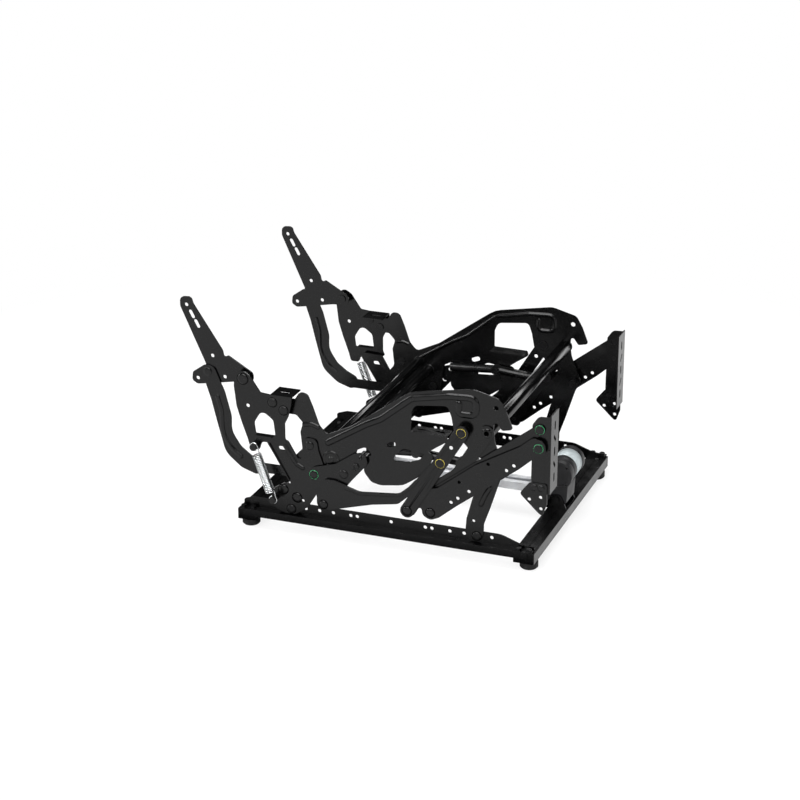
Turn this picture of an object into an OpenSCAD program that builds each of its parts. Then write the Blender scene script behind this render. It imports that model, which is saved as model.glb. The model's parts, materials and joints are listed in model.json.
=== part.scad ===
// Power recliner mechanism: floor frame, two mirrored side linkages and a screw actuator.
// Closed position, millimetres. X points to the front, Y to the left, Z up from the floor.

/* [Sheet metal] */
// Thickness of every linkage plate
sheet_t = 2.6; // [2.2:0.1:2.8]
// Running gap between two neighbouring plates
sheet_gap = 1; // [0.8:0.1:1.3]
// Gap between the third and the fourth plate, which holds rivet heads
head_room = 3.4; // [3.2:0.1:4]
// Distance from the middle plane to the inner face of the seat plate
seat_plate_y = 258; // [254:0.5:262]
// Width of the pressed stiffening ribs
rib_w = 9; // [6:0.5:10]
// Height of the pressed stiffening ribs
rib_h = 2.4; // [1.5:0.1:2.6]
// Width of the long rib along the seat plate
spine_w = 13; // [10:0.5:14]
// Height of the long rib along the seat plate
spine_h = 3.4; // [2.4:0.1:3.8]
// Radius of the brace rod inside the seat plate
brace_r = 9; // [7:0.25:9.5]

/* [Rivets] */
// Shank radius of the linkage rivets
rivet_r = 5; // [4:0.1:5.4]
// Head radius of the linkage rivets
rivet_head_r = 9; // [8:0.1:9.5]
// Head height of the linkage rivets
rivet_head_h = 2.2; // [1.6:0.1:2.4]
// Radius of the spacer shoulder on a rivet that bridges a layer
shoulder_r = 7; // [6.2:0.1:7.4]
// Radial clearance of a running rivet in its hole
run_clear = 0.08; // [0.05:0.01:0.1]
// Radial clearance in the pivots that close a linkage loop
loop_clear = 0.4; // [0.35:0.05:0.6]
// Radial clearance of a fixed rivet in its hole
fix_clear = 0.05; // [0.03:0.01:0.08]
// Axial clearance beside a running plate
side_clear = 0.35; // [0.3:0.05:0.45]

/* [Floor frame] */
// Distance from the middle to the outside of a cross rail
base_half = 318; // [310:1:326]
// Length of the cross rails
cross_rail_len = 533; // [526:0.5:534]
// Width of the level leg of a cross rail
cross_leg = 43; // [39:0.5:43.5]
// Height of a cross rail
cross_h = 23; // [20:0.5:24]
// Sheet thickness of the floor frame
rail_t = 3; // [2.5:0.1:3.2]
// Height of a side rail above its ledge
side_rail_h = 23; // [20:0.5:24]
// Depth of the side rail ledge, measured outward
side_ledge = 19.2; // [17:0.1:19.8]
// Depth of the lip that hangs from the ledge
side_lip = 15; // [10:0.5:18]
// Radius of the row of holes along a side rail
rail_hole_r = 3.8; // [3:0.1:4.2]
// Foot radius
foot_r = 18.5; // [15:0.5:20]
// Foot height below the cross rail
foot_h = 18; // [16:0.5:20]
// Distance from a foot axis to the outside of its cross rail
foot_inset = 18; // [17:0.5:19]
// Distance from a foot axis to the end of its cross rail
foot_side = 26.5; // [25:0.5:34]

/* [Seat glide] */
// Rear base pivot, forward position
rear_base_x = -199; // [-204:0.5:-194]
// Front base pivot, forward position
front_base_x = 196; // [192:0.5:200]
// Height of the base pivots above the floor
base_pivot_z = 57; // [56:0.25:59]
// Forward reach of the swing links in the closed position
swing_x = 42; // [39:0.5:44]
// Rise of the swing links in the closed position
swing_z = 145; // [143:0.5:148]

/* [Footrest linkage] */
// Rear footrest pivot, forward position
rest_x = 168; // [165:0.5:171]
// Rear footrest pivot, height
rest_z = 280; // [278:0.5:283]
// Forward step from the rear to the front footrest pivot
rest_step = 48; // [46:0.5:50]
// Length of the footrest links between pivots
rest_len = 213.7; // [210:0.1:216]
// Direction of the footrest links in the closed position, degrees
rest_dir = -121.6; // [-123:0.2:-120]
// Forward reach of the footrest arms
arm_x = 220; // [216:0.5:224]
// Rise of the footrest arms
arm_z = 169; // [166:0.5:172]
// Spacing of the two pivots on the footrest bracket
bracket_step = 37; // [36:0.25:38]
// Half width of the rear footrest link
rear_link_r = 14.5; // [13:0.25:15]
// Half width of the upper footrest link
upper_link_r = 10.5; // [9.5:0.25:11]

/* [Drive linkage] */
// Crank pivot, forward position
crank_x = -82; // [-84:0.5:-80]
// Crank pivot, height
crank_z = 152; // [150:0.5:154]
// Length of the drive crank between pivots
crank_len = 82; // [80:0.5:84]
// Distance from the crank pivot to the drive tube
drive_arm = 40; // [38:0.5:42]
// Radius of the drive tube
drive_tube_r = 10; // [8:0.25:10.5]

/* [Back linkage] */
// Back hinge, position along X
back_x = -296; // [-299:0.5:-293]
// Back hinge, height
back_z = 330; // [328:0.5:333]
// Length of the lever arm on the back bracket and of the back lever
back_arm = 83; // [81:0.5:85]
// Back lever hinge, position along X
lever_x = -189; // [-191:0.5:-187]
// Back lever hinge, height
lever_z = 135; // [134:0.5:138]
// Half width of the back lever
lever_r = 10.5; // [9.5:0.25:11]
// Radius of the fixing holes in the back bracket
back_hole_r = 4; // [3.2:0.1:4.4]

/* [Cross tubes] */
// Wall thickness of the cross tubes
tube_wall = 2; // [1.5:0.1:2.5]
// Radius of the two rear seat tubes
seat_tube_r = 10; // [8:0.25:11]
// Radius of the footrest torque tube
torque_tube_r = 14; // [12:0.25:14.5]
// Radius of the torque tube journals in the seat plates
journal_r = 8; // [6.5:0.1:8.4]
// Radius of the tube that joins the rear swing links
swing_tube_r = 8; // [6.5:0.25:8.5]

/* [Flanges] */
// Radius of the fixing holes in the flanges
flange_hole_r = 3.5; // [2.8:0.1:3.9]
// Length of the fixing slots in the flanges
flange_slot = 19; // [14:0.5:20]
// Depth of the rear seat flange, measured inward
rear_flange_d = 45; // [38:0.5:48]
// Depth of the front seat flange, measured inward
front_flange_d = 30; // [26:0.5:34]
// Depth of the footrest flange, measured inward
rest_flange_d = 45; // [38:0.5:48]

/* [Actuator] */
// Motor axis, forward position
motor_x = 294; // [292:0.5:296]
// Motor axis, height
motor_z = 113; // [111:0.5:115]
// Radius of the motor can
motor_r = 28; // [25:0.25:29]
// Length of the motor can
motor_len = 68; // [60:0.5:72]
// Width of the screw track
track_w = 38; // [35:0.5:40]
// Height of the screw track
track_h = 18; // [17:0.25:19]
// Underside of the screw track above the floor
track_z = 60; // [59:0.25:61]
// Length of the screw track behind the carriage in the closed position
track_tail = 26.5; // [22:0.5:30]
// Radius of the lead screw
screw_r = 4.5; // [3.8:0.1:4.8]
// Space between the two arms of the carriage fork
fork_gap = 23.8; // [23.6:0.1:24.6]
// Forward offset of the fork from the drive tube in the closed position
fork_shift = 1.5; // [1.3:0.1:1.7]

/* [Springs] */
// Wire diameter of the return springs
wire_d = 2.4; // [2.2:0.1:2.8]
// Outside diameter of the return springs
spring_od = 20; // [17:0.25:20.4]
// Number of curls in each return spring
spring_turns = 23; // [18:1:24]
// Distance between neighbouring curls
spring_pitch = 3.6; // [3.5:0.05:3.7]
// Distance from the middle plane to the spring axis
spring_y = 284.8; // [284.6:0.1:288]
// Radius of the spring studs
stud_r = 6; // [5:0.1:6.4]

/* [Hidden] */
layer_step = sheet_t + sheet_gap;
swing_v = [swing_x, swing_z];
rear_base = [rear_base_x, base_pivot_z];
front_base = [front_base_x, base_pivot_z];
rear_top = rear_base + swing_v;
front_top = front_base + swing_v;
rest_v = [cos(rest_dir), sin(rest_dir)];
rest_rear = [rest_x, rest_z];
rest_front = rest_rear + [rest_step, 2];
rear_low = rest_rear + rest_len * rest_v;
front_low = rest_front + rest_len * rest_v;
front_mid = front_low + [0, bracket_step];
arm_v = [arm_x, arm_z];
toe_low = front_low + arm_v;
toe_high = front_mid + arm_v;
drive_bush = rest_rear + crank_len * rest_v;
crank_pivot = [crank_x, crank_z];
crank_low = crank_pivot + crank_len * rest_v;
drive_axis = crank_pivot + drive_arm * rest_v;
back_pivot = [back_x, back_z];
back_link_top = back_pivot - [back_arm, 0];
lever_pivot = [lever_x, lever_z];
back_link_low = lever_pivot - [back_arm, 0];
spring_low = rear_base + [-31, 24];
arch_foot = back_pivot + [19, -144];
spring_high = arch_foot + [7, 5];
tube_upper = rear_top + [42, 5];
tube_lower = rear_top + [65, -12];
swing_tube_axis = rear_base + [13, 27];
cross_top = foot_h + cross_h;
foot_y = cross_rail_len / 2 - foot_side;
rail_y = seat_plate_y - 2 * layer_step;
rest_face_x = toe_high[0] + 19.4;
back_tip_x = back_x - 141;
frame_x = -(rest_face_x + sheet_t + back_tip_x) / 2;
black = [0.12, 0.12, 0.13];
zinc = [0.78, 0.8, 0.82];
plastic = [0.06, 0.06, 0.07];

// Inner face of plate layer n, counted outward from the seat plate
function layer_y(n) = seat_plate_y + n * layer_step + (n > 2 ? head_room - sheet_gap : 0);
function outer_y(n) = layer_y(n) + sheet_t;
function unit(v) = v / norm(v);
function turn(v) = atan2(v[1], v[0]);
function wrap(a) = a > 180 ? a - 360 : a < -180 ? a + 360 : a;
function arc(c, r, a, sweep, n) = [for (i = [0:n]) c + r * [cos(a + sweep * i / n), sin(a + sweep * i / n)]];

// One corner b between a and c, rounded to radius r or to what the edges allow
function corner(a, b, c, r) =
    let (u = unit(a - b), w = unit(c - b), half = acos(u * w) / 2)
    let (d = min(r / tan(half), 0.47 * norm(a - b), 0.47 * norm(c - b)), rr = d * tan(half))
    let (ctr = b + unit(u + w) * (rr / sin(half)), s = turn(b + u * d - ctr))
    let (e = wrap(turn(b + w * d - ctr) - s))
    arc(ctr, rr, s, e, max(2, ceil(abs(e) / 15)));
function flat(p) = [p[0], p[1]];
function outline(p) = let (n = len(p)) [for (i = [0:n - 1])
    each corner(flat(p[(i + n - 1) % n]), flat(p[i]), flat(p[(i + 1) % n]), p[i][2])];
function route(p) = let (n = len(p)) [flat(p[0]),
    for (i = [1:n - 2]) each corner(flat(p[i - 1]), flat(p[i]), flat(p[i + 1]), p[i][2]), flat(p[n - 1])];
// Outline point given as an offset from a pivot, with its corner radius
function off(p, dx, dz, r) = [p[0] + dx, p[1] + dz, r];
// Outline of a straight link with round ends of radius a at p and b at q
function link(p, a, q, b) = let (d = turn(q - p), s = acos((a - b) / norm(q - p)))
    concat(arc(q, b, d - s, 2 * s, 14), arc(p, a, d + s, 360 - 2 * s, 14));

module placed() {
    translate([frame_x, 0, 0]) children();
}

module sided(left) {
    placed() mirror([0, left ? 1 : 0, 0]) children();
}

// Thickness t of sheet along Y, with its inner face at distance y on the right side
module sheet(y, t, points) {
    translate([0, -y, 0])
        rotate([90, 0, 0])
            linear_extrude(t) polygon(points);
}

// A flat plate in layer n from a closed outline
module plate(n, points) {
    sheet(layer_y(n), sheet_t, points);
}

// A round bar along Y at p, from distance y0 to y1 on the right side
module bar(p, y0, y1, r) {
    translate([p[0], -y0, p[1]])
        rotate([90, 0, 0])
            cylinder(r = r, h = y1 - y0, $fn = 48);
}

// A round tube along Y at p, open at both ends, reaching to distance y on both sides
module tube(p, y, r) {
    difference() {
        bar(p, -y, y, r);
        bar(p, -y - 1, y + 1, r - tube_wall);
    }
}

// A round hole through the plate in layer n
module hole(n, p, r) {
    bar(p, layer_y(n) - 1, outer_y(n) + 1, r);
}

// A long hole through the plate in layer n, turned by a degrees
module slot(n, p, r, length, a) {
    translate([p[0], -layer_y(n) + 1, p[1]])
        rotate([90, 0, 0])
            rotate([0, 0, a])
                long_hole(r, length, sheet_t + 2);
}

// A long hole of that depth along Z, with its length along X
module long_hole(r, length, depth) {
    run = length / 2 - r;
    for (x = [-run, run])
        translate([x, 0, 0])
            cylinder(r = r, h = depth, $fn = 48);
    translate([-run, -r, 0])
        cube([2 * run, 2 * r, depth]);
}

// A round rod from p to q at distance y on the right side, with a slightly larger knuckle at q
module rod(p, q, y, r) {
    translate([p[0], -y, p[1]])
        rotate([0, 90 - turn(q - p), 0])
            cylinder(r = r, h = norm(q - p), $fn = 48);
    bar(q, y - r - 0.3, y + r + 0.3, r + 0.7);
}

// A domed head that stands on the face at distance y and points outward
module head(p, y, r) {
    translate([p[0], -y, p[1]])
        rotate([90, 0, 0])
            rotate_extrude($fn = 48)
                polygon([[0, 0], [r, 0], [r, rivet_head_h * 0.4], [r * 0.88, rivet_head_h * 0.75],
                    [r * 0.6, rivet_head_h], [0, rivet_head_h]]);
}

// A flat head on the inner side, below distance y
module inner_head(p, y, r) {
    bar(p, y - rivet_head_h, y, r);
}

// A pressed rib with a rounded back on the outer face of layer n, along a route
module rib(n, path, w = rib_w, h = rib_h) {
    last = len(path) - 1;
    sides = 6;
    m = sides + 1;
    points = [for (i = [0:last])
        let (t = unit(path[min(last, i + 1)] - path[max(0, i - 1)]), side = [-t[1], t[0]])
        let (k = (i == 0 || i == last) ? 0.45 : 1)
        for (j = [0:sides])
            let (s = -cos(180 * j / sides) * w / 2 * k, q = path[i] + side * s)
            let (up = (j == 0 || j == sides) ? -0.7 : sin(180 * j / sides) * h * k)
            [q[0], -outer_y(n) - up, q[1]]];
    skin = [for (i = [0:last - 1]) for (j = [0:sides])
        let (a = i * m + j, b = i * m + (j + 1) % m, c = a + m, d = b + m)
        each [[a, b, c], [b, d, c]]];
    caps = concat([for (j = [1:sides - 1]) [0, j + 1, j]],
        [for (j = [1:sides - 1]) [last * m, last * m + j, last * m + j + 1]]);
    polyhedron(points, concat(skin, caps), convexity = 6);
}

// Floor frame

module cross_rail(front) {
    color(black) placed()
        mirror([front ? 0 : 1, 0, 0])
            difference() {
                translate([base_half - cross_leg, -cross_rail_len / 2, foot_h])
                    cube([cross_leg, cross_rail_len, cross_h]);
                translate([base_half - cross_leg - 1, -cross_rail_len / 2 + rail_t, foot_h - 1])
                    cube([cross_leg - rail_t + 1, cross_rail_len - 2 * rail_t, cross_h - rail_t + 1]);
                for (y = [-foot_y, foot_y])
                    translate([base_half - foot_inset, y, cross_top - rail_t - 1])
                        cylinder(r = 4.2, h = rail_t + 2, $fn = 32);
            }
}

module front_cross_rail() {
    cross_rail(true);
}

module rear_cross_rail() {
    cross_rail(false);
}

rail_holes = [-172, -142, -112, -74, -60, 13, 86, 100, 138, 168, 226];
lip_half = base_half - 14;

module base_rail(left) {
    top = cross_top + rail_t + side_rail_h;
    x0 = -base_half + 9;
    x1 = base_half - 4;
    flange = outline([[x0, cross_top, 0.4], [x0, top - 8, 6], [x0 + 24, top, 16], [x1 - 69, top, 40],
        [x1 - 26, cross_top + 11, 20], [x1, cross_top + 9, 4], [x1, cross_top, 0.4]]);
    color(black) sided(left)
        difference() {
            union() {
                sheet(rail_y, sheet_t, flange);
                translate([x0, -rail_y - side_ledge, cross_top])
                    cube([x1 - x0, side_ledge, rail_t]);
                translate([-lip_half, -rail_y - side_ledge, cross_top - side_lip + rail_t])
                    cube([2 * lip_half, sheet_t, side_lip]);
            }
            for (x = rail_holes)
                hole(-2, [x, base_pivot_z], rail_hole_r);
            hole(-2, rear_base, rivet_r + fix_clear);
            hole(-2, front_base, rivet_r + fix_clear);
            for (x = bolt_x)
                translate([x, -bolt_y, cross_top - 1])
                    cylinder(r = 4.2, h = rail_t + 2, $fn = 32);
        }
}

module base_rail_right() {
    base_rail(false);
}

module base_rail_left() {
    base_rail(true);
}

bolt_x = [-base_half + 12, -base_half + 33, base_half - 33, base_half - 12];
bolt_y = rail_y + 11;

module corner_bolts() {
    color(zinc) placed()
        for (x = bolt_x)
            for (y = [-bolt_y, bolt_y])
                translate([x, y, cross_top + rail_t]) {
                    cylinder(r = 7.5, h = 1.2, $fn = 32);
                    cylinder(r = 6, h = 5.4, $fn = 6);
                    translate([0, 0, -rail_t]) cylinder(r = 4, h = rail_t + 1, $fn = 32);
                }
}

module feet() {
    color(plastic) placed()
        for (x = [-base_half + foot_inset, base_half - foot_inset])
            for (y = [-foot_y, foot_y])
                translate([x, y, 0])
                    rotate_extrude($fn = 48)
                        polygon([[0, 0], [foot_r - 3, 0], [foot_r, 3], [foot_r, foot_h - 4],
                            [foot_r - 3, foot_h - 1], [9, foot_h - 1], [9, cross_top - rail_t],
                            [4, cross_top - rail_t], [4, cross_top + 2], [0, cross_top + 2]]);
}

module base_rivets() {
    color(zinc) for (left = [false, true]) sided(left) {
        bar(rear_base, rail_y - 0.2, outer_y(1) + side_clear + 0.2, rivet_r);
        bar(rear_base, outer_y(-2), layer_y(1) - side_clear, shoulder_r + 1);
        head(rear_base, outer_y(1) + side_clear, rivet_head_r);
        inner_head(rear_base, rail_y, rivet_head_r);
        bar(front_base, rail_y - 0.2, outer_y(-1) + side_clear + 0.2, rivet_r);
        bar(front_base, outer_y(-2), layer_y(-1) - side_clear, shoulder_r + 1);
        head(front_base, outer_y(-1) + side_clear, rivet_head_r);
        inner_head(front_base, rail_y, rivet_head_r);
    }
}

// Actuator

motor_axis = [motor_x, motor_z];
box_near = 36;
box_far = -20;
bracket_pin = [motor_x - 2, 60];
track_front = motor_x - 32;
carriage_len = 44;
carriage_x = drive_axis[0] + fork_shift;
track_len = track_front - carriage_x + carriage_len / 2 + track_tail;

module motor_bracket() {
    ear = outline([[motor_x - 24, cross_top, 1], off(bracket_pin, -9, 12, 9), off(bracket_pin, 11, 12, 9),
        [motor_x + 22, cross_top, 1]]);
    color(black) placed() {
        difference() {
            union() {
                sheet(box_near + 1, rail_t, ear);
                sheet(box_far - 1 - rail_t, rail_t, ear);
                translate([motor_x - 23.5, -box_near - 2, cross_top])
                    cube([45, box_near - box_far + 4, rail_t]);
            }
            bar(bracket_pin, box_far - 6, box_near + 6, rivet_r + fix_clear);
        }
        bar(bracket_pin, box_far - 6, box_near + 6, rivet_r);
        bar(bracket_pin, box_near + 1 + rail_t, box_near + 8, rivet_r + 3.5);
    }
}

module gearbox() {
    block = outline([[motor_x - 32, 50, 5], [motor_x + 20, 50, 8], [motor_x + 22, 92, 3],
        [motor_x - 32, 92, 8]]);
    color(plastic) placed()
        difference() {
            union() {
                sheet(box_far, box_near - box_far, block);
                bar(motor_axis, 16.2, box_near, motor_r + 2);
            }
            bar(bracket_pin, box_far - 1, box_near + 1, rivet_r + run_clear);
            bar(motor_axis, box_far - 1, 16, motor_r + 0.3);
            bar(motor_axis, 15, 17.5, motor_r - 8 + fix_clear);
            bar(motor_axis, box_near - 3, box_near + 1, motor_r - 4);
        }
}

module drive_motor() {
    color(zinc) placed() {
        bar(motor_axis, 16 - motor_len, 16, motor_r);
        bar(motor_axis, 15, 17, motor_r - 8);
    }
}

module motor_end_cap() {
    y1 = 16 - motor_len;
    color(plastic) placed()
        difference() {
            bar(motor_axis, y1 - 9, y1 + 6, motor_r + 1.6);
            bar(motor_axis, y1 - 0.1, y1 + 7, motor_r + 0.1);
        }
}

track_wall = 5;
slot_half = 7;

module actuator_track() {
    color(zinc) placed()
        translate([track_front - track_len, 0, track_z])
            difference() {
                translate([0, -track_w / 2, 0])
                    cube([track_len, track_w, track_h]);
                translate([-1, -track_w / 2 + track_wall, 3])
                    cube([track_len + 2, track_w - 2 * track_wall, track_h - 6]);
                translate([-1, -slot_half, 5])
                    cube([track_len + 2, 2 * slot_half, track_h]);
            }
}

module lead_screw() {
    color(zinc) placed()
        translate([track_front - track_len + 4, 0, track_z + track_h / 2])
            rotate([0, 90, 0])
                cylinder(r = screw_r, h = track_len - 4, $fn = 32);
}

module track_end_cap() {
    x0 = track_front - track_len;
    color(plastic) placed()
        difference() {
            translate([x0 - 4, -track_w / 2 - 2.5, track_z - 2.5])
                cube([14, track_w + 5, track_h + 5]);
            translate([x0, -track_w / 2 - 0.1, track_z - 0.1])
                cube([11, track_w + 0.2, track_h + 0.2]);
        }
}

module drive_carriage() {
    top = track_z + track_h + 1.5;
    inner_w = track_w - 2 * track_wall - 1;
    arm_t = 8;
    x0 = -fork_gap / 2 - arm_t;
    prong = outline([[x0, top + 2, 0.5], [x0, drive_axis[1] + 10, 5], [x0 + arm_t, drive_axis[1] + 18, 3],
        [x0 + arm_t, top + 12, 4], [-x0 - arm_t, top + 12, 4], [-x0 - arm_t, drive_axis[1] + 18, 3],
        [-x0, drive_axis[1] + 10, 5], [-x0, top + 2, 0.5]]);
    color(plastic) placed()
        translate([carriage_x, 0, 0]) {
            difference() {
                union() {
                    translate([-carriage_len / 2, -inner_w / 2, track_z + 3.5])
                        cube([carriage_len, inner_w, track_h - 7]);
                    translate([-carriage_len / 2, -slot_half + 0.5, track_z + 6])
                        cube([carriage_len, 2 * slot_half - 1, track_h - 2]);
                    translate([-carriage_len / 2, -track_w / 2 + 2, top])
                        cube([carriage_len, track_w - 4, 6]);
                    sheet(-14, 28, prong);
                }
                translate([-carriage_len / 2 - 1, 0, track_z + track_h / 2])
                    rotate([0, 90, 0])
                        cylinder(r = screw_r + 0.4, h = carriage_len + 2, $fn = 32);
            }
        }
}

// Rear swing body

module rear_swing_link(left) {
    horn = outline([
        off(rear_base, 9, -10.5, 11), off(rear_base, 36, 9, 12), off(rear_base, 62, 51, 14),
        off(rear_top, 31, -60, 14), off(rear_top, 29, -38, 12), off(rear_top, 19, -10, 10),
        off(rear_top, 15, 15, 12), off(rear_top, -13, 16, 12), off(rear_top, -16, -12, 10),
        off(rear_top, -20, -42, 8), off(rear_top, -47, 4, 6), off(rear_top, -91, 6, 6),
        off(rear_top, -96, -2, 5), off(rear_base, 2, 53, 8), off(spring_low, 20, 34, 10),
        off(spring_low, -13, 13, 10), off(spring_low, -15, -12, 12), off(spring_low, -2, -28, 10),
        off(rear_base, -13, -11, 11)]);
    lip_a = rear_base + [0, 56];
    lip_b = rear_top + [-94.5, 1];
    color(black) sided(left)
        difference() {
            union() {
                plate(1, horn);
                translate([lip_a[0], -layer_y(1), lip_a[1]])
                    rotate([90, -turn(lip_b - lip_a), 0])
                        translate([8, -2.4, 0.4])
                            cube([norm(lip_b - lip_a) - 14, 2.2, sheet_t + 2.8]);
                rib(1, route([off(rear_top, -55, -6, 0), off(rear_top, -29, -44, 8),
                    off(rear_top, -16, -51, 0)]));
                bar(spring_low, layer_y(1) + 0.3, spring_y + 4.2, stud_r);
                bar(spring_low, spring_y + 4, spring_y + 6, stud_r + 1.2);
                head(swing_tube_axis, outer_y(1), rivet_head_r + 1);
                head(rear_base + [-17, 41], outer_y(1), rivet_head_r + 1);
            }
            hole(1, rear_base, rivet_r + run_clear);
            hole(1, rear_top, rivet_r + run_clear);
            hole(1, rear_base + [26, 22], 3);
            slot(1, rear_top + [-57, -14], 4, 21, 0);
        }
}

module rear_swing_link_right() {
    rear_swing_link(false);
}

module rear_swing_link_left() {
    rear_swing_link(true);
}

module rear_swing_tube() {
    color(black) placed()
        tube(swing_tube_axis, layer_y(1), swing_tube_r);
}

// Springs: eye, wound body and eye as one unbroken tube

spring_span = norm(spring_high - spring_low);
spring_up = unit(spring_high - spring_low);
coil_r = (spring_od - wire_d) / 2;
coil_len = spring_turns * spring_pitch;
coil_start = (spring_span - coil_len) / 2;
eye_r = stud_r + wire_d / 2 + 0.7;

// Local spring points: x across, y outward, z along the spring from the lower stud
function coil() = [for (i = [0:8 * spring_turns]) let (a = 45 * i)
    [coil_r * cos(a), coil_r * sin(a), coil_start + spring_pitch * i / 8]];
function lead() = [[eye_r * 0.95, 0, eye_r * 0.6],
    [coil_r * 0.9, -coil_r * 0.25, coil_start - spring_pitch * 0.55]];
function eye() = [for (i = [0:7]) let (a = 150 - 255 * i / 7) [-eye_r * cos(a), 0, -eye_r * sin(a)]];
function far(p) = [for (q = p) [q[0], -q[1], spring_span - q[2]]];
function reversed(p) = [for (i = [len(p) - 1:-1:0]) p[i]];
function spring_path() = let (start = concat(reversed(eye()), lead()))
    concat(start, coil(), reversed(far(start)));
function spring_world(p) = let (q = spring_low + spring_up * p[2] + [spring_up[1], -spring_up[0]] * p[0])
    [q[0], -spring_y - p[1], q[1]];
function tangents(p) = let (n = len(p)) [for (i = [0:n - 1]) unit(p[min(n - 1, i + 1)] - p[max(0, i - 1)])];
function carry(u, t) = unit(u - (u * t) * t);
function frames(t) = [for (i = 0, u = carry([0.3, 1, 0.2], t[0]); i < len(t); i = i + 1,
    u = i < len(t) ? carry(u, t[i]) : u) u];
function least_gap(p) = let (n = len(p) - 1)
    min([for (i = [0:n - 6]) for (j = [i + 6:n]) norm(p[i] - p[j])]) - wire_d;

module wire(path) {
    sides = 6;
    t = tangents(path);
    u = frames(t);
    last = len(path) - 1;
    points = [for (i = [0:last]) let (v = cross(t[i], u[i])) for (j = [0:sides - 1])
        path[i] + wire_d / 2 * (u[i] * cos(60 * j) + v * sin(60 * j))];
    skin = [for (i = [0:last - 1]) for (j = [0:sides - 1])
        let (a = i * sides + j, b = i * sides + (j + 1) % sides, c = a + sides, d = b + sides)
        each [[a, c, b], [b, c, d]]];
    caps = concat([for (j = [1:sides - 2]) [0, j, j + 1]],
        [for (j = [1:sides - 2]) [last * sides, last * sides + j + 1, last * sides + j]]);
    polyhedron(points, concat(skin, caps), convexity = 10);
}

module return_spring(left) {
    color(zinc) sided(left)
        wire([for (p = spring_path()) spring_world(p)]);
}

module return_spring_right() {
    return_spring(false);
}

module return_spring_left() {
    return_spring(true);
}

// Front swing links

module front_swing_link(left) {
    body = outline([
        off(front_base, -16, -10, 10), off(front_base, 9, -11, 10), off(front_base, 14, 13, 12),
        off(front_base, 14, 27, 14), off(front_base, 27, 65, 30), off(front_top, 5, -16, 20),
        off(front_top, 16, 6, 12), off(front_top, 0, 17, 12), off(front_top, -18, 10, 12),
        off(front_top, -32, -6, 20), off(front_top, -50, -58, 20), off(front_base, -22, 35, 14),
        off(front_base, -24, 7, 12)]);
    color(black) sided(left)
        difference() {
            union() {
                plate(-1, body);
                rib(-1, route([off(front_base, 8, 70, 0), off(front_base, 17, 92, 60),
                    off(front_top, -16, -37, 0)]));
            }
            hole(-1, front_base, rivet_r + run_clear);
            hole(-1, front_top, rivet_r + loop_clear);
            hole(-1, front_base + [-7, 32], 3);
        }
}

module front_swing_link_right() {
    front_swing_link(false);
}

module front_swing_link_left() {
    front_swing_link(true);
}

// Seat body

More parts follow.
